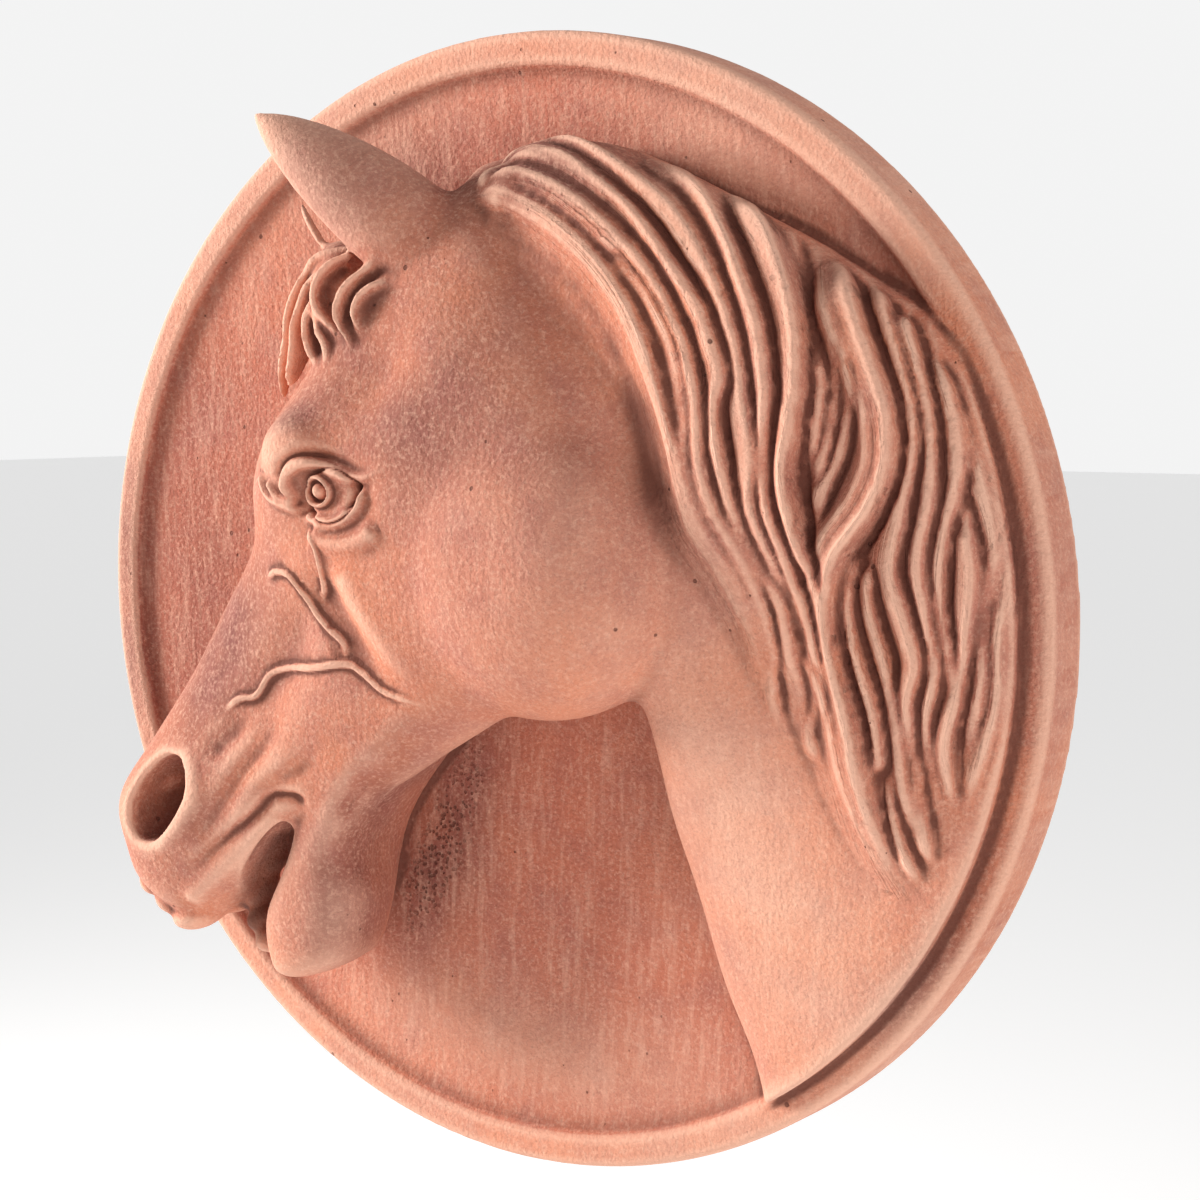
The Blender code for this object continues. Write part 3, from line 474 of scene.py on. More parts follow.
# Height, width of the slope on the right, and the line of the crest as (across, up)
LOCKS = (
    (0.031, 0.050, ((0.00, 0.710), (0.06, 0.715), (0.121, 0.698), (0.20, 0.66), (0.28, 0.60), (0.345, 0.525),
                    (0.39, 0.44), (0.432, 0.32), (0.471, 0.193), (0.519, 0.113), (0.559, 0.023),
                    (0.569, -0.06), (0.585, -0.13))),
    (0.021, 0.028, ((0.30, 0.60), (0.335, 0.567), (0.385, 0.517), (0.426, 0.443), (0.444, 0.363),
                    (0.455, 0.28), (0.48, 0.19))),
    (0.036, 0.048, ((0.00, 0.720), (0.05, 0.738), (0.10, 0.740), (0.18, 0.715), (0.27, 0.66), (0.36, 0.58),
                    (0.428, 0.484), (0.459, 0.410), (0.471, 0.346), (0.472, 0.289), (0.494, 0.210),
                    (0.530, 0.140), (0.565, 0.06), (0.578, -0.02), (0.575, -0.10), (0.61, -0.21))),
    (0.026, 0.030, ((0.00, 0.727), (0.05, 0.753), (0.10, 0.758), (0.20, 0.725), (0.30, 0.655),
                    (0.38, 0.575))),
    (0.042, 0.048, ((0.00, 0.734), (0.054, 0.768), (0.12, 0.770), (0.20, 0.745), (0.32, 0.665), (0.40, 0.58),
                    (0.455, 0.515), (0.485, 0.455), (0.501, 0.405), (0.493, 0.345), (0.509, 0.257),
                    (0.525, 0.186), (0.558, 0.114), (0.592, 0.05), (0.605, -0.02), (0.618, -0.07),
                    (0.62, -0.14), (0.66, -0.23))),
    (0.044, 0.045, ((0.00, 0.742), (0.04, 0.782), (0.11, 0.797), (0.18, 0.782), (0.27, 0.74), (0.38, 0.665),
                    (0.46, 0.57), (0.512, 0.47), (0.535, 0.371), (0.548, 0.291), (0.548, 0.205),
                    (0.578, 0.12), (0.608, 0.04), (0.62, -0.02), (0.655, -0.08), (0.65, -0.14),
                    (0.67, -0.24))),
    (0.031, 0.034, ((0.10, 0.818), (0.19, 0.80), (0.29, 0.745), (0.39, 0.667), (0.465, 0.585),
                    (0.515, 0.49))),
    (0.055, 0.055, ((0.24, 0.785), (0.33, 0.745), (0.41, 0.682), (0.46, 0.625), (0.504, 0.562),
                    (0.545, 0.482), (0.565, 0.387), (0.562, 0.323), (0.565, 0.226), (0.592, 0.14),
                    (0.618, 0.07), (0.64, -0.01), (0.665, -0.10), (0.662, -0.19))),
    (0.068, 0.060, ((0.33, 0.765), (0.41, 0.715), (0.48, 0.655), (0.54, 0.59), (0.588, 0.50), (0.605, 0.41),
                    (0.602, 0.33), (0.592, 0.25), (0.615, 0.15), (0.645, 0.08), (0.665, 0.02))),
    (0.034, 0.036, ((0.46, 0.69), (0.52, 0.655), (0.565, 0.60), (0.612, 0.50), (0.642, 0.40), (0.637, 0.31),
                    (0.608, 0.22))),
    (0.023, 0.022, ((0.655, 0.46), (0.668, 0.39), (0.662, 0.31), (0.645, 0.23))),
    (0.026, 0.024, ((0.675, 0.44), (0.692, 0.37), (0.685, 0.30), (0.660, 0.23), (0.648, 0.16))),
    (0.070, 0.075, ((0.60, 0.60), (0.645, 0.54), (0.695, 0.45), (0.735, 0.36), (0.745, 0.28), (0.722, 0.21),
                    (0.675, 0.14), (0.658, 0.07), (0.665, -0.02), (0.692, -0.12), (0.710, -0.22),
                    (0.735, -0.32), (0.785, -0.41))),
    (0.044, 0.042, ((0.67, 0.555), (0.71, 0.51), (0.752, 0.42), (0.782, 0.32), (0.775, 0.21), (0.762, 0.12),
                    (0.782, 0.05), (0.80, -0.02), (0.785, -0.09), (0.79, -0.18), (0.83, -0.33))),
    (0.042, 0.042, ((0.72, 0.515), (0.755, 0.465), (0.80, 0.35), (0.815, 0.24), (0.802, 0.14), (0.812, 0.05),
                    (0.825, -0.04), (0.812, -0.13), (0.835, -0.29))),
    (0.034, 0.050, ((0.785, 0.455), (0.835, 0.36), (0.855, 0.27), (0.838, 0.17), (0.832, 0.08), (0.845, 0.00),
                    (0.848, -0.06), (0.83, -0.15))),
    (0.021, 0.040, ((0.845, 0.37), (0.88, 0.28), (0.915, 0.18), (0.925, 0.08))),
    (0.023, 0.032, ((0.85, 0.26), (0.875, 0.18), (0.895, 0.10), (0.89, 0.03))),
    (0.044, 0.036, ((0.715, 0.17), (0.69, 0.10), (0.695, 0.02), (0.73, -0.10), (0.735, -0.17), (0.725, -0.22),
                    (0.74, -0.30), (0.795, -0.40))),
    (0.031, 0.030, ((0.725, 0.14), (0.730, 0.06), (0.755, -0.03), (0.768, -0.12), (0.782, -0.22),
                    (0.812, -0.34))),
    (0.034, 0.036, ((0.86, 0.22), (0.88, 0.12), (0.873, 0.02), (0.86, -0.07), (0.845, -0.15),
                    (0.855, -0.26))),
    (0.021, 0.030, ((0.91, 0.17), (0.908, 0.10), (0.895, 0.03), (0.898, -0.06), (0.87, -0.19))),
    (0.018, 0.034, ((0.925, 0.20), (0.932, 0.11), (0.922, 0.00), (0.920, -0.09), (0.875, -0.27))),
    (0.021, 0.022, ((0.60, 0.05), (0.628, -0.02), (0.642, -0.09), (0.638, -0.15), (0.665, -0.22))),
    (0.023, 0.024, ((0.75, -0.12), (0.755, -0.22), (0.775, -0.30), (0.81, -0.38))),
    (0.021, 0.022, ((0.80, -0.17), (0.805, -0.24), (0.825, -0.34))),
)


def read_clay(obj):
    """The clay's points and their outward directions, in shares of the dish's radius."""
    mesh = obj.data
    points = np.empty(len(mesh.vertices) * 3)
    normals = np.empty(len(mesh.vertices) * 3)
    mesh.vertices.foreach_get("co", points)
    mesh.vertices.foreach_get("normal", normals)
    points = points.reshape(-1, 3)
    normals = normals.reshape(-1, 3)
    shares = np.column_stack((points[:, 0], points[:, 2], -points[:, 1] - DISH_DEPTH)) / DISH_RADIUS
    outward = np.column_stack((normals[:, 0], normals[:, 2], -normals[:, 1]))
    return shares, outward


def push_clay(obj, shares):
    """Moves the clay's points to the given places."""
    points = np.column_stack((shares[:, 0], -shares[:, 2], shares[:, 1])) * DISH_RADIUS
    points[:, 1] -= DISH_DEPTH
    obj.data.vertices.foreach_set("co", points.ravel())
    obj.data.update()


def line_distance(flat, path):
    """How far each point lies from the path, on which side (1 is right of it), and how far along it."""
    line = np.array(smooth_rows(path, PATH_STEPS))
    best = np.full(len(flat), 9.0)
    side = np.ones(len(flat))
    share = np.zeros(len(flat))
    for i, (start, end) in enumerate(zip(line, line[1:])):
        way = end - start
        t = np.clip(((flat - start) @ way) / (way @ way), 0, 1)
        gap = flat - start - t[:, None] * way
        distance = np.hypot(gap[:, 0], gap[:, 1])
        nearer = distance < best
        best[nearer] = distance[nearer]
        side[nearer] = -np.sign(gap[:, 0] * way[1] - gap[:, 1] * way[0])[nearer]
        share[nearer] = (i + t[nearer]) / (len(line) - 1)
    return best, side, share


def near_path(flat, path, reach):
    low = np.min(path, axis=0)[:2] - reach
    high = np.max(path, axis=0)[:2] + reach
    return np.flatnonzero(np.all((flat > low) & (flat < high), axis=1))


def tapered(share, start, end):
    """1 in the middle of a stroke, falling to 0 over the given lengths at its two ends."""
    first = np.clip(share / start, 0, 1)
    last = np.clip((1 - share) / end, 0, 1)
    return first * first * (3 - 2 * first) * last * last * (3 - 2 * last)


def mane_heights(flat):
    """How high the locks stand over each point, and how far the point lies across and along its own lock."""
    height = np.zeros(len(flat))
    cut = np.zeros(len(flat))
    across = np.zeros(len(flat))
    along = np.zeros(len(flat))
    for number, (rise, slope, path) in enumerate(LOCKS):
        shifted = np.array(path) + np.array((LOCK_SHIFT * rise, 0.0))
        near = near_path(flat, shifted, LOCK_REACH)
        distance, side, share = line_distance(flat[near], shifted)
        fade = tapered(share, ROOT_TAPER, TIP_TAPER)
        width = END_WIDTH + (1 - END_WIDTH) * fade
        offset = np.where((share > 0) & (share < 1), -side * distance, 9.0)
        left = np.clip(-offset / (LOCK_EDGE * width), 0, 1)
        right = np.clip(offset / (SLOPE_STRETCH * slope * width), 0, 1)
        fold = 0.30 + 0.20 * ((number * 0.618) % 1.0)
        profile = np.where(offset < 0, 1 - left ** 1.4, (1 - right) ** 1.3)
        profile += FOLD_HEIGHT * np.exp(-((right - fold) / FOLD_WIDTH) ** 2) * (right < 1)
        lock = rise * fade * profile * (offset < 1)
        wins = lock > height[near] + OVERLAP
        height[near] = np.where(wins, lock, height[near])
        across[near] = np.where(wins, offset + number, across[near])
        along[near] = np.where(wins, share, along[near])
        foot = np.exp(-((offset + 1.2 * LOCK_EDGE * width) / (0.5 * LOCK_EDGE)) ** 2)
        cut[near] = np.maximum(cut[near], (CUT_DEPTH if number else 0.0) * rise * fade * foot)
    return height - cut, across, along


def distance_to(points, skins):
    """How far each point, in shares, lies from the nearest of the skins, in metres."""
    return np.array([min(skin.find_nearest(place(*point))[3] for skin in skins) for point in points])


def neighbours(mesh):
    edges = np.empty(len(mesh.edges) * 2, dtype=np.int64)
    mesh.edges.foreach_get("vertices", edges)
    edges = edges.reshape(-1, 2)
    counts = np.bincount(edges.ravel(), minlength=len(mesh.vertices)).astype(float)
    return edges, counts


def spread_out(values, edges, counts, rounds):
    """Each value drawn towards its neighbours' mean, several times over."""
    for _ in range(rounds):
        total = np.zeros_like(values)
        for column in range(values.shape[1]):
            total[:, column] += np.bincount(edges[:, 0], values[edges[:, 1], column], len(values))
            total[:, column] += np.bincount(edges[:, 1], values[edges[:, 0], column], len(values))
        values = 0.4 * values + 0.6 * total / counts[:, None]
    return values


shares, outward = read_clay(relief)
edges, counts = neighbours(relief.data)
facing = spread_out(outward, edges, counts, 8)[:, 2]
front = np.clip(facing * 2.2 - 0.25, 0, 1) * np.clip((shares[:, 2] + 0.010) / 0.03, 0, 1)
to_lip = NECK_EDGE_RADIUS / DISH_RADIUS - np.hypot(shares[:, 0], shares[:, 1])
raised = mane_heights(shares[:, :2])[0] * front * np.clip(to_lip / LIP_GAP, 0, 1)
by_ear = np.flatnonzero((np.abs(raised) > 0) & (shares[:, 0] < EAR_SIDE))
clear = np.clip((distance_to(shares[by_ear], ear_skins) - EAR_GAP) / EAR_GAP_FADE, 0, 1)
raised[by_ear] *= clear
raised = spread_out(raised[:, None], edges, counts, 2)[:, 0]
away = outward * LIFT_OUTWARD + np.array((0.0, 0.0, LIFT_FORWARD))
push_clay(relief, shares + away * raised[:, None])
rub_together(relief, HAIR_VOXEL, 1)

# The face
# Brow, eye, lids, veins, nose and lips are low forms in the same clay. Hollows are pressed in with the
# thumbs, ridges are thin strips of clay rubbed on, and the eye's ball and rings are cut with a small tool.

EYE = (-0.160, 0.212)
EYE_SIZE = (0.056, 0.045)
EYE_HEIGHT = 0.040
EYE_REACH = 0.042
EYE_GAP_DEPTH = 0.020
EYE_GAP_WIDTH = 0.0065
IRIS = (-0.187, 0.221)
IRIS_SIZE = (0.027, 0.023)
# Height, distance from the iris's middle in shares of its size, and width of each ring on the eye
IRIS_RINGS = ((0.014, 1.0, 0.16), (-0.008, 0.68, 0.18), (0.012, 0.0, 0.42))


def stroke(flat, path, width, start=0.15, end=0.15):
    """A soft ridge of height 1 along a path, with pointed ends."""
    ridge = np.zeros(len(flat))
    near = near_path(flat, path, 3.5 * width)
    distance, _, share = line_distance(flat[near], path)
    ridge[near] = tapered(share, start, end) * np.exp(-(distance / width) ** 2)
    return ridge


def bump(flat, centre, along, across, slope_degrees=0.0):
    """A soft round swelling of height 1."""
    turn = math.radians(slope_degrees)
    offset = flat - np.array(centre)
    u = (offset[:, 0] * math.cos(turn) + offset[:, 1] * math.sin(turn)) / along
    v = (offset[:, 1] * math.cos(turn) - offset[:, 0] * math.sin(turn)) / across
    return np.exp(-(u * u + v * v))


BROW_CREASE = ((-0.262, 0.225), (-0.258, 0.258), (-0.230, 0.278), (-0.190, 0.280), (-0.150, 0.272),
               (-0.105, 0.258))
UPPER_LID = ((-0.236, 0.196), (-0.254, 0.222), (-0.248, 0.248), (-0.222, 0.264), (-0.190, 0.265),
             (-0.150, 0.257), (-0.112, 0.245), (-0.075, 0.248), (-0.030, 0.268))
LOWER_LID = ((-0.222, 0.190), (-0.205, 0.176), (-0.178, 0.166), (-0.145, 0.166), (-0.115, 0.180),
             (-0.098, 0.206), (-0.104, 0.235))
UNDER_EYE = ((-0.205, 0.158), (-0.180, 0.142), (-0.150, 0.134), (-0.112, 0.134), (-0.078, 0.145),
             (-0.055, 0.168))
EYE_GAPS = (
    ((-0.122, 0.184), (-0.110, 0.205), (-0.110, 0.226), (-0.122, 0.242)),
    ((-0.222, 0.200), (-0.208, 0.184), (-0.188, 0.176)),
)
INNER_FOLDS = (
    ((-0.318, 0.250), (-0.320, 0.225), (-0.300, 0.203), (-0.262, 0.190), (-0.230, 0.183)),
    ((-0.300, 0.240), (-0.285, 0.212), (-0.262, 0.202), (-0.238, 0.195)),
)
VEINS = (
    ((-0.214, 0.158), (-0.190, 0.130), (-0.183, 0.095), (-0.190, 0.060), (-0.212, 0.020)),
    ((-0.335, 0.062), (-0.300, 0.076), (-0.262, 0.070), (-0.238, 0.035), (-0.220, 0.005), (-0.195, -0.018),
     (-0.165, -0.045), (-0.160, -0.080)),
    ((-0.450, -0.185), (-0.415, -0.160), (-0.375, -0.150), (-0.345, -0.112), (-0.300, -0.096),
     (-0.230, -0.088), (-0.160, -0.078), (-0.125, -0.092), (-0.085, -0.118), (-0.040, -0.130),
     (0.010, -0.142)),
)
JOWL_VALLEY = ((0.027, 0.650), (0.125, 0.600), (0.232, 0.525), (0.325, 0.403), (0.380, 0.310),
               (0.405, 0.191), (0.400, 0.062), (0.388, -0.02))
MUSCLE_GROOVES = (
    ((-0.113, -0.244), (-0.179, -0.321), (-0.228, -0.381)),
    ((-0.206, -0.224), (-0.274, -0.275), (-0.345, -0.318), (-0.412, -0.370)),
    ((-0.300, -0.150), (-0.341, -0.218), (-0.397, -0.293), (-0.478, -0.402), (-0.529, -0.445)),
    ((-0.380, -0.175), (-0.441, -0.235), (-0.485, -0.275)),
)
CHEEK_HOLLOW = ((-0.20, 0.11), (-0.175, 0.02), (-0.12, -0.07), (-0.05, -0.15))
CHEEK_RIDGE = ((-0.155, 0.11), (-0.12, 0.045), (-0.07, -0.03), (-0.01, -0.095), (0.06, -0.13))
NOSE_HOLLOW = ((-0.22, 0.08), (-0.26, -0.02), (-0.36, -0.16), (-0.46, -0.24))
LIP_GROOVE = ((-0.272, -0.340), (-0.302, -0.332), (-0.340, -0.337), (-0.376, -0.369), (-0.441, -0.419),
              (-0.503, -0.469), (-0.545, -0.510))
LIP_EDGE = ((-0.33, -0.372), (-0.385, -0.415), (-0.45, -0.465), (-0.52, -0.52), (-0.57, -0.56))
NOSTRIL_RIM = ((-0.570, -0.262), (-0.520, -0.280), (-0.502, -0.330), (-0.525, -0.378), (-0.580, -0.425),
               (-0.650, -0.465))
# Height, middle, half length, half width and slope of each swelling or thumbed hollow
FACE_SWELLINGS = (
    (0.022, (-0.26, 0.31), 0.10, 0.06, 20),
    (-0.024, (-0.10, 0.41), 0.10, 0.07, 40),
    (-0.046, EYE, 0.072, 0.050, 15),
)
# Height, path and width of each stroke, and the shares of it that are drawn thin at its start and end
FACE_STROKES = (
    (-0.030, JOWL_VALLEY, 0.056, 0.40, 0.50),
    (-0.024, CHEEK_HOLLOW, 0.045, 0.3, 0.5),
    (0.009, CHEEK_RIDGE, 0.034, 0.2, 0.6),
    (-0.018, NOSE_HOLLOW, 0.05, 0.4, 0.5),
    (-0.013, LIP_GROOVE, 0.013, 0.15, 0.6),
    (0.010, LIP_EDGE, 0.018, 0.15, 0.15),
    *((-0.010, groove, 0.024, 0.4, 0.4) for groove in MUSCLE_GROOVES),
    *((0.009, vein, 0.0052, 0.1, 0.25) for vein in VEINS),
    (-0.015, BROW_CREASE, 0.010, 0.2, 0.4),
    (0.022, UPPER_LID, 0.0100, 0.12, 0.35),
    (0.022, LOWER_LID, 0.0115, 0.15, 0.15),
    (0.016, UNDER_EYE, 0.017, 0.15, 0.15),
    *((0.012, fold, 0.008, 0.15, 0.15) for fold in INNER_FOLDS),
    (0.007, NOSTRIL_RIM, 0.020, 0.3, 0.3),
)

# More points round the eye, so that its small forms are crisp
take_up(relief)
bpy.ops.object.mode_set(mode="EDIT")
bpy.ops.mesh.select_mode(type="FACE")
bpy.ops.mesh.select_all(action="DESELECT")
bpy.ops.object.mode_set(mode="OBJECT")
eye_middle = place(EYE[0] - 0.03, EYE[1], 0.25)
for face in relief.data.polygons:
    gap = face.center - eye_middle
    if face.normal.y < 0 and math.hypot(gap.x, gap.z) < EYE_REACH:
        face.select = True
bpy.ops.object.mode_set(mode="EDIT")
bpy.ops.mesh.subdivide(number_cuts=1, smoothness=0.0)
bpy.ops.object.mode_set(mode="OBJECT")

shares, outward = read_clay(relief)
flat = shares[:, :2]
front = np.clip(outward[:, 2] * 2.5, 0, 1) * (shares[:, 2] > 0.0)
rise = np.zeros(len(flat))
for height, middle, along, across, slope in FACE_SWELLINGS:
    rise += height * bump(flat, middle, along, across, slope)
for height, path, width, start, end in FACE_STROKES:
    rise += height * stroke(flat, path, width, start, end)
shares = shares + outward * (rise * front)[:, None]
ball = 1 - ((flat[:, 0] - EYE[0]) / EYE_SIZE[0]) ** 2 - ((flat[:, 1] - EYE[1]) / EYE_SIZE[1]) ** 2
shares[:, 2] += EYE_HEIGHT * np.sqrt(np.clip(ball, 0, 1)) * front
for gap in EYE_GAPS:
    shares[:, 2] -= EYE_GAP_DEPTH * stroke(flat, gap, EYE_GAP_WIDTH, 0.3, 0.3) * front
iris = np.hypot((flat[:, 0] - IRIS[0]) / IRIS_SIZE[0], (flat[:, 1] - IRIS[1]) / IRIS_SIZE[1])
for height, distance, width in IRIS_RINGS:
    shares[:, 2] += height * np.exp(-((iris - distance) / width) ** 2) * front
push_clay(relief, shares)

# The fired skin
# The modelled clay dries on a flat board, which keeps its back flat, and is then fired hard. Where its skin
# is raised, hollow, stained, pale or combed into hair is kept on its points, for the colours of the clay and
# for the painted shade and highlight laid over them.

RELIEF_TRIANGLES = 190000
FRONT_MARGIN = 0.003
FRONT_SOFTNESS = 0.004
BACK_MARGIN = 0.004
BACK_SKIN = 0.002
BOWL_LEVEL = 0.03
BOWL_FADE = 0.04
BOWL_EDGE = 0.945
LIP_START = 0.93
MOUTH_LEVEL = 0.215
MOUTH_FADE = 0.04
NOSTRIL_LEVEL = 0.20
NOSTRIL_FADE = 0.10
LOCK_STEP = 0.02
shares, outward = read_clay(relief)
front_plane = -(solid_low.y + DISH_DEPTH) / DISH_RADIUS - FRONT_MARGIN
below_front = np.logaddexp(0, (front_plane - shares[:, 2]) / FRONT_SOFTNESS) * FRONT_SOFTNESS
shares[:, 2] = front_plane - below_front
back_plane = -DISH_DEPTH / DISH_RADIUS
on_back = shares[:, 2] < back_plane + BACK_MARGIN
shares[on_back, 2] = back_plane
push_clay(relief, shares)


def keep_on_clay(name, values):
    """Keeps one value for each point of the clay, and nothing on its flat back."""
    layer = relief.data.attributes.new(name, "FLOAT", "POINT")
    layer.data.foreach_set("value", (values * not_back).astype(np.float32))


MOUTH_GAP = ((-0.372, -0.405), (-0.410, -0.465), (-0.446, -0.522), (-0.478, -0.575), (-0.498, -0.640))
# Middle, half length, half width and slope
NOSTRIL = ((-0.60, -0.38), 0.09, 0.05, 50)
PITTED_PATCH = ((-0.19, -0.45), 0.24, 0.055, 66)
# The same and the strength, for each darker patch, stains and painted shade alike, then for each paler patch
STAINS_AND_SHADE = (
    ((-0.12, 0.44), 0.17, 0.12, 35, 0.9),
    ((0.02, 0.36), 0.24, 0.15, 40, 1.0),
    ((-0.24, 0.345), 0.075, 0.035, 20, 1.0),
    ((-0.46, -0.06), 0.28, 0.13, 60, 1.15),
    ((-0.56, -0.36), 0.20, 0.13, 60, 0.80),
    ((-0.30, -0.56), 0.20, 0.15, 60, 0.40),
    ((-0.20, 0.75), 0.24, 0.12, -35, 1.0),
    ((0.12, 0.75), 0.24, 0.09, -8, 1.0),
    # Painted shadow cast by the jaw on the bowl
    ((-0.18, -0.44), 0.26, 0.09, 66, 1.25),
    # Painted shade over the left of the bowl and the left lip
    ((-0.78, 0.05), 0.15, 0.55, 0, 0.75),
    ((-0.97, -0.05), 0.08, 0.50, 0, 1.1),
    ((0.80, -0.53), 0.16, 0.035, 55, 1.2),
)
PALE_PATCHES = (
    ((0.58, -0.40), 0.38, 0.15, -62, 1.0),
    ((0.03, -0.80), 0.45, 0.10, 0, 0.65),
    ((-0.35, 0.84), 0.40, 0.12, 30, 0.45),
    ((0.45, 0.78), 0.30, 0.10, -30, 0.65),
    ((-0.28, 0.29), 0.05, 0.035, 60, 0.9),
)


def patches(flat, rows):
    """How strongly each point is darkened or paled, by the strongest of the patches over it."""
    spread = np.zeros(len(flat))
    for middle, along, across, slope_degrees, strength in rows:
        spread = np.maximum(spread, strength * bump(flat, middle, along, across, slope_degrees))
    return spread


shares, outward = read_clay(relief)
not_back = np.clip(outward[:, 2] * 3 + 1.5, 0, 1) * (shares[:, 2] > back_plane + BACK_SKIN)
edges, counts = neighbours(relief.data)
fine = spread_out(shares, edges, counts, 5)
broad = spread_out(fine, edges, counts, 40)
# How far each point stands out of or sinks into its surroundings, finely and broadly: sunk points get painted
# shade, raised points a painted highlight
keep_on_clay("fine_relief", np.sum((shares - fine) * outward, axis=1) * 1000)
keep_on_clay("broad_relief", np.sum((shares - broad) * outward, axis=1) * 100)
from_middle = np.hypot(shares[:, 0], shares[:, 1])
bowl = (np.clip(BOWL_LEVEL - shares[:, 2], 0, BOWL_FADE) / BOWL_FADE) * (from_middle < BOWL_EDGE)
bowl = spread_out(bowl[:, None], edges, counts, 4)[:, 0]
keep_on_clay("bowl", bowl)
skyward = spread_out(outward[:, 1][:, None], edges, counts, 12)[:, 0] * (from_middle < LIP_START)
keep_on_clay("skyward", skyward * (1 - bowl))
keep_on_clay("stain_and_shade", patches(shares[:, :2], STAINS_AND_SHADE))
keep_on_clay("pale", patches(shares[:, :2], PALE_PATCHES))
keep_on_clay("pitted", bump(shares[:, :2], *PITTED_PATCH) * bowl)
# Painted shade inside the open mouth and the nostril
gap_line = stroke(shares[:, :2], MOUTH_GAP, 0.028, 0.1, 0.1)
mouth_shade = gap_line * np.clip((MOUTH_LEVEL - shares[:, 2]) / MOUTH_FADE, 0, 1)
nostril_shade = bump(shares[:, :2], *NOSTRIL) * np.clip((NOSTRIL_LEVEL - shares[:, 2]) / NOSTRIL_FADE, 0, 1)
keep_on_clay("hollow_shade", np.maximum(mouth_shade, 0.5 * nostril_shade) * (1 - bowl))
_, across, along = mane_heights(shares[:, :2])
keep_on_clay("hair_across", across)
keep_on_clay("hair_along", along)
around = spread_out(across[:, None], edges, counts, 2)[:, 0]
one_lock = np.clip(1 - np.abs(across - around) / LOCK_STEP, 0, 1)
on_hair = spread_out(((across != 0) * one_lock)[:, None], edges, counts, 3)[:, 0]
keep_on_clay("hair", np.clip(on_hair * 2.2 - 1.2, 0, 1) * (1 - bowl))

triangles = 2 * len(relief.data.polygons)
finish_with(relief, "DECIMATE", ratio=RELIEF_TRIANGLES / triangles)
bpy.ops.object.shade_smooth()

# The terracotta
# Coarse red clay, brushed while wet and fired matt: orange and mauve by turns, with painted shade in the
# hollows, the mouth and the nostril, darker patches that are partly stains and partly painted shade, a pale
# chalky bloom and painted highlight on what stands up, and small black pits.

terracotta = bpy.data.materials.new("terracotta")
terracotta.use_nodes = True
nodes = terracotta.node_tree.nodes
links = terracotta.node_tree.links
clay = nodes["Principled BSDF"]
clay.inputs["Roughness"].default_value = 0.88
clay.inputs["Specular IOR Level"].default_value = 0.3


def node(kind, inputs=None, **settings):
    """A shader node with its settings, its constant inputs and its linked inputs."""
    made = nodes.new(kind)
    for name, value in settings.items():
        setattr(made, name, value)
    for name, value in (inputs or {}).items():
        if isinstance(value, bpy.types.NodeSocket):
            links.new(value, made.inputs[name])
        else:
            made.inputs[name].default_value = value
    return made


def mixed(amount, first, second, blend="MIX"):
    mix = node("ShaderNodeMix", data_type="RGBA", blend_type=blend)
    for socket, value in ((mix.inputs[0], amount), (mix.inputs[6], first), (mix.inputs[7], second)):
        if isinstance(value, bpy.types.NodeSocket):
            links.new(value, socket)
        else:
            socket.default_value = value
    return mix.outputs[2]


def ranged(value, low, high, to_low=0.0, to_high=1.0):
    return node("ShaderNodeMapRange", {"Value": value, "From Min": low, "From Max": high, "To Min": to_low,
                                       "To Max": to_high}).outputs["Result"]


def noise(scale, detail=3.0, roughness=0.55, vector=None):
    return node("ShaderNodeTexNoise", {"Vector": vector or where, "Scale": scale, "Detail": detail,
                                       "Roughness": roughness}).outputs["Fac"]


where = node("ShaderNodeTexCoord").outputs["Object"]
brushed = node("ShaderNodeMapping", {"Vector": where, "Rotation": (0.0, math.radians(-12), 0.0),
                                     "Scale": (1.0, 1.0, 0.12)}).outputs["Vector"]
ORANGE_CLAY = (0.60, 0.205, 0.112, 1)
PINK_CLAY = (0.60, 0.245, 0.158, 1)
RED_CLAY = (0.47, 0.138, 0.085, 1)
MAUVE_CLAY = (0.34, 0.118, 0.092, 1)
DUST_AND_SHADE = (0.19, 0.058, 0.044, 1)
# Pale chalky bloom, also used as painted highlight on what stands up
CHALK_AND_HIGHLIGHT = (0.80, 0.47, 0.34, 1)
# Dark colour for painted shade in creases, hollows, the mouth and the nostril, and for the pits
PAINTED_SHADE_AND_PITS = (0.12, 0.035, 0.022, 1)


def on_clay(name):
    return node("ShaderNodeAttribute", attribute_name=name).outputs["Fac"]


def combined(operation, first, second):
    maths = node("ShaderNodeMath", operation=operation)
    for socket, value in zip(maths.inputs, (first, second)):
        if isinstance(value, bpy.types.NodeSocket):
            links.new(value, socket)
        else:
            socket.default_value = value
    return maths.outputs[0]


def times(first, second):
    return combined("MULTIPLY", first, second)


fine_relief = on_clay("fine_relief")
broad_relief = on_clay("broad_relief")
in_bowl = on_clay("bowl")
in_hair = on_clay("hair")
blotches = noise(18.0, 5.0, 0.65)
colour = mixed(ranged(noise(9.0), 0.35, 0.65), ORANGE_CLAY, PINK_CLAY)
colour = mixed(ranged(noise(5.0, 4.0), 0.50, 0.80, 0.0, 0.7), colour, MAUVE_CLAY)
colour = mixed(ranged(in_bowl, 0.0, 1.0, 0.0, 0.85), colour, RED_CLAY)
bowl_patches = times(in_bowl, ranged(noise(6.0, 4.0, 0.6), 0.42, 0.75, 0.0, 0.8))
colour = mixed(bowl_patches, colour, ORANGE_CLAY)
# Faces turned up are made darker
darker_facing_up = times(ranged(on_clay("skyward"), 0.30, 0.95), ranged(noise(14.0, 4.0), 0.3, 0.6, 0.5, 0.8))
colour = mixed(darker_facing_up, colour, DUST_AND_SHADE)
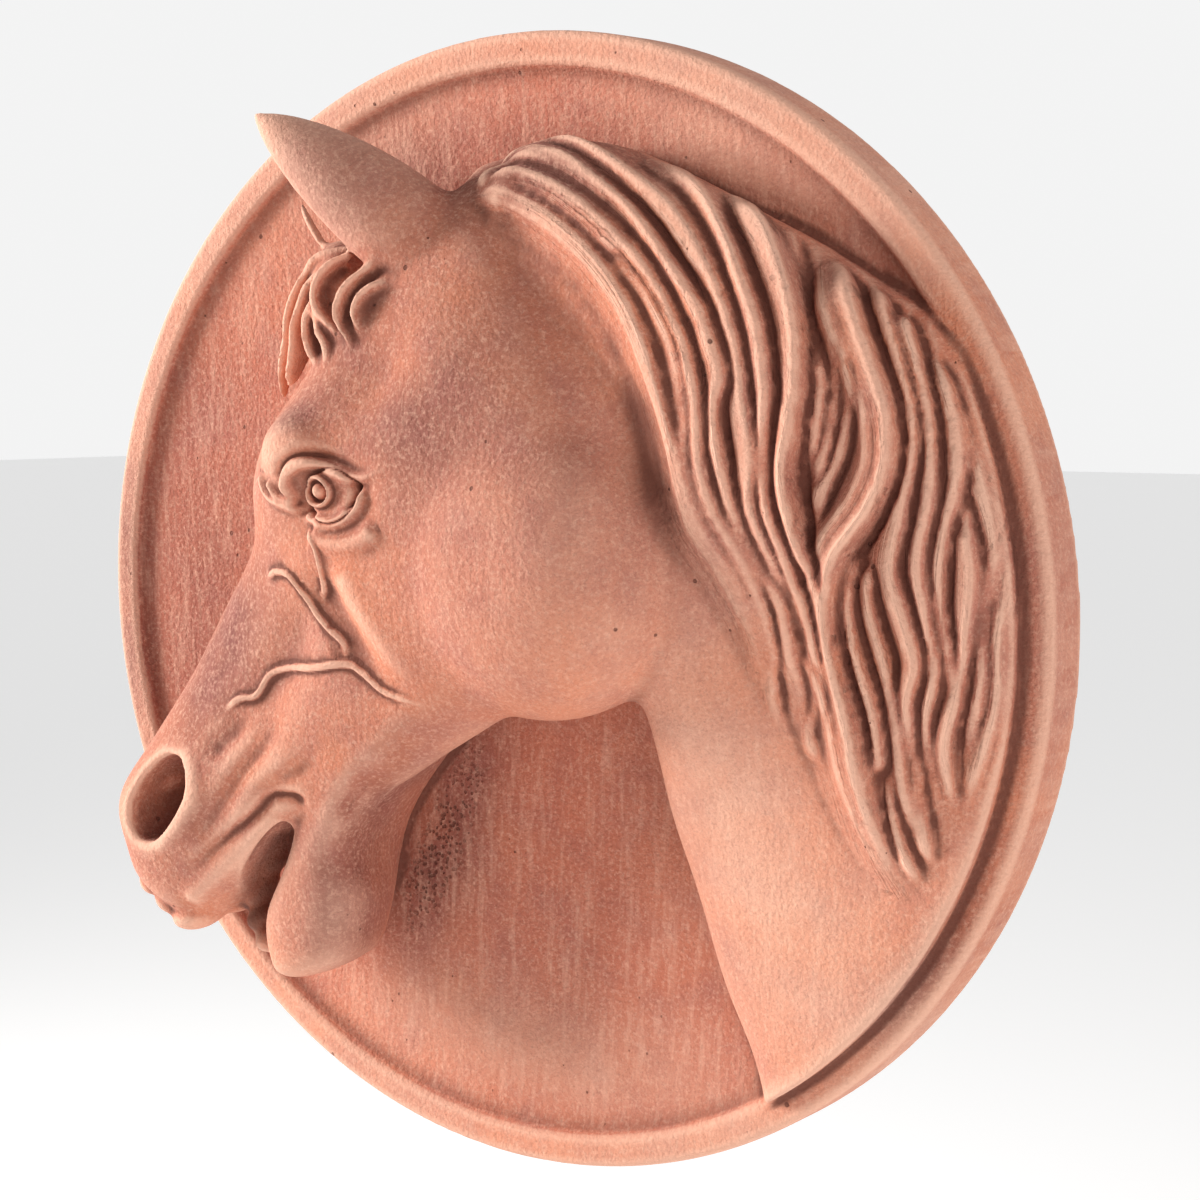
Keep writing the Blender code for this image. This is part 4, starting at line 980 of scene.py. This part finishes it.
# Darker patches: stains, and painted shade and shadow
colour = mixed(times(on_clay("stain_and_shade"), ranged(blotches, 0.3, 0.65, 0.50, 0.95)), colour, DUST_AND_SHADE)
colour = mixed(ranged(noise(38.0, 5.0, 0.65), 0.45, 0.75, 0.0, 0.60), colour, MAUVE_CLAY)
colour = mixed(times(on_clay("pale"), ranged(blotches, 0.3, 0.65, 0.35, 0.65)), colour, CHALK_AND_HIGHLIGHT)
colour = mixed(ranged(noise(420.0, 3.0, 0.7), 0.48, 0.75, 0.0, 0.48), colour, CHALK_AND_HIGHLIGHT)
colour = mixed(ranged(noise(820.0, 3.0, 0.7), 0.50, 0.75, 0.0, 0.38), colour, DUST_AND_SHADE)
strokes_seen = ranged(combined("MAXIMUM", in_bowl, on_clay("pale")), 0.0, 1.0, 0.12, 0.32)
colour = mixed(times(ranged(noise(230.0, 3.0, 0.6, brushed), 0.48, 0.75), strokes_seen), colour, CHALK_AND_HIGHLIGHT)
# Painted highlight on fine crests and broad swellings, partly a chalky bloom
bloom_and_highlight = ranged(in_hair, 0.0, 1.0, 0.65, 1.0)
colour = mixed(times(ranged(fine_relief, 0.10, 0.9, 0.0, 0.75), bloom_and_highlight), colour, CHALK_AND_HIGHLIGHT)
colour = mixed(ranged(broad_relief, 0.05, 0.45, 0.0, 0.35), colour, CHALK_AND_HIGHLIGHT)
# Painted shade in creases and broad hollows
colour = mixed(ranged(fine_relief, -0.15, -1.0, 0.0, 0.85), colour, PAINTED_SHADE_AND_PITS)
painted_hollow_shade = times(ranged(broad_relief, -0.06, -0.50, 0.0, 0.90), ranged(in_bowl, 0.2, 1.0, 1.0, 0.4))
painted_hollow_shade = times(painted_hollow_shade, ranged(in_hair, 0.0, 1.0, 0.5, 1.0))
colour = mixed(painted_hollow_shade, colour, PAINTED_SHADE_AND_PITS)
# Painted shade in the mouth and the nostril
colour = mixed(times(on_clay("hollow_shade"), 0.85), colour, PAINTED_SHADE_AND_PITS)
pit_gap = node("ShaderNodeTexVoronoi", {"Vector": where, "Scale": 70.0}).outputs["Distance"]
pit_room = ranged(noise(12.0, 2.0), 0.45, 0.65, 0.02, 0.10)
lone_pits = ranged(combined("SUBTRACT", pit_room, pit_gap), 0.0, 0.03)
crowd_gap = node("ShaderNodeTexVoronoi", {"Vector": where, "Scale": 330.0}).outputs["Distance"]
crowded_pits = times(ranged(crowd_gap, 0.40, 0.28), ranged(on_clay("pitted"), 0.35, 0.7))
pits = combined("MAXIMUM", lone_pits, crowded_pits)
colour = mixed(times(pits, 0.75), colour, PAINTED_SHADE_AND_PITS)
links.new(colour, clay.inputs["Base Color"])

hair_where = node("ShaderNodeCombineXYZ", {"X": times(on_clay("hair_across"), 240.0),
                                           "Y": times(on_clay("hair_along"), 4.0)}).outputs["Vector"]
hair_lines = times(noise(1.0, 2.0, 0.5, hair_where), in_hair)
grain_height = combined("SUBTRACT", noise(380.0, 3.0, 0.6), times(pits, 1.5))
grain = node("ShaderNodeBump", {"Height": grain_height, "Strength": 0.7, "Distance": 0.0016})
strokes = node("ShaderNodeBump", {"Height": noise(260.0, 3.0, 0.6, brushed), "Strength": 0.30,
                                  "Distance": 0.0010, "Normal": grain.outputs["Normal"]})
hairs = node("ShaderNodeBump", {"Height": hair_lines, "Strength": 0.7, "Distance": 0.0030,
                                "Normal": strokes.outputs["Normal"]})
links.new(hairs.outputs["Normal"], clay.inputs["Normal"])
relief.data.materials.append(terracotta)

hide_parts("horse_relief")
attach(relief, "root")

# The stage
# The relief hangs free above a wide pale floor, as in a plain studio: soft daylight from the upper left, a
# weak fill from the right, an even white room that is brighter behind the relief, and the camera.

CAMERA_PLACE = (0.5924, -0.845, 0.1124)
CAMERA_RIGHT = (0.8353, 0.5498, 0.0)
CAMERA_UP = (-0.0580, 0.0881, 0.9944)
CAMERA_BACK = (0.5468, -0.8306, 0.1055)
CAMERA_LENS = 57.0
CAMERA_SENSOR = 36.0
FLOOR_DROP = 1.1
FLOOR_SIZE = 60
# Place, size in metres, watts and colour
DAYLIGHT = ((-2.1, -0.98, 0.65), 0.7, 98, (1.0, 0.97, 0.94))
FILL = ((2.0, -1.2, 0.3), 1.4, 22, (1.0, 0.98, 0.96))
ROOM_IN_FRONT = 0.29
ROOM_BEHIND = 0.90
deselect_all()
bpy.ops.mesh.primitive_plane_add(size=FLOOR_SIZE, location=(0, 0, -FLOOR_DROP))
floor = bpy.context.object
floor.name = "floor"
pale_floor = bpy.data.materials.new("pale_floor")
pale_floor.use_nodes = True
paint = pale_floor.node_tree.nodes["Principled BSDF"]
paint.inputs["Base Color"].default_value = (0.86, 0.86, 0.86, 1)
paint.inputs["Roughness"].default_value = 0.9
paint.inputs["Emission Color"].default_value = (1, 1, 1, 1)
paint.inputs["Emission Strength"].default_value = 0.30
floor.data.materials.append(pale_floor)

camera_data = bpy.data.cameras.new("camera")
camera_data.lens = CAMERA_LENS
camera_data.sensor_width = CAMERA_SENSOR
camera = bpy.data.objects.new("camera", camera_data)
bpy.context.scene.collection.objects.link(camera)
camera.matrix_world = Matrix((
    (CAMERA_RIGHT[0], CAMERA_UP[0], CAMERA_BACK[0], CAMERA_PLACE[0]),
    (CAMERA_RIGHT[1], CAMERA_UP[1], CAMERA_BACK[1], CAMERA_PLACE[1]),
    (CAMERA_RIGHT[2], CAMERA_UP[2], CAMERA_BACK[2], CAMERA_PLACE[2]),
    (0, 0, 0, 1)))
bpy.context.scene.camera = camera


def soft_light(name, where_from, size, watts, tint):
    """A square light at a place, turned towards the middle of the relief."""
    light = bpy.data.lights.new(name, "AREA")
    light.shape = "SQUARE"
    light.size = size
    light.energy = watts
    light.color = tint
    lamp = bpy.data.objects.new(name, light)
    lamp.location = where_from
    lamp.rotation_euler = (-Vector(where_from)).to_track_quat("-Z", "Y").to_euler()
    bpy.context.scene.collection.objects.link(lamp)


soft_light("daylight", *DAYLIGHT)
soft_light("fill", *FILL)
world = bpy.data.worlds.new("room")
world.use_nodes = True
sky = world.node_tree
direction = sky.nodes.new("ShaderNodeTexCoord")
parts = sky.nodes.new("ShaderNodeSeparateXYZ")
behind = sky.nodes.new("ShaderNodeMapRange")
behind.inputs["From Min"].default_value = -0.1
behind.inputs["From Max"].default_value = 0.5
behind.inputs["To Min"].default_value = ROOM_IN_FRONT
behind.inputs["To Max"].default_value = ROOM_BEHIND
sky.links.new(direction.outputs["Generated"], parts.inputs["Vector"])
sky.links.new(parts.outputs["Y"], behind.inputs["Value"])
sky.links.new(behind.outputs["Result"], sky.nodes["Background"].inputs["Strength"])
sky.nodes["Background"].inputs["Color"].default_value = (1.0, 1.0, 1.0, 1)
bpy.context.scene.world = world
bpy.context.scene.view_settings.view_transform = "Standard"
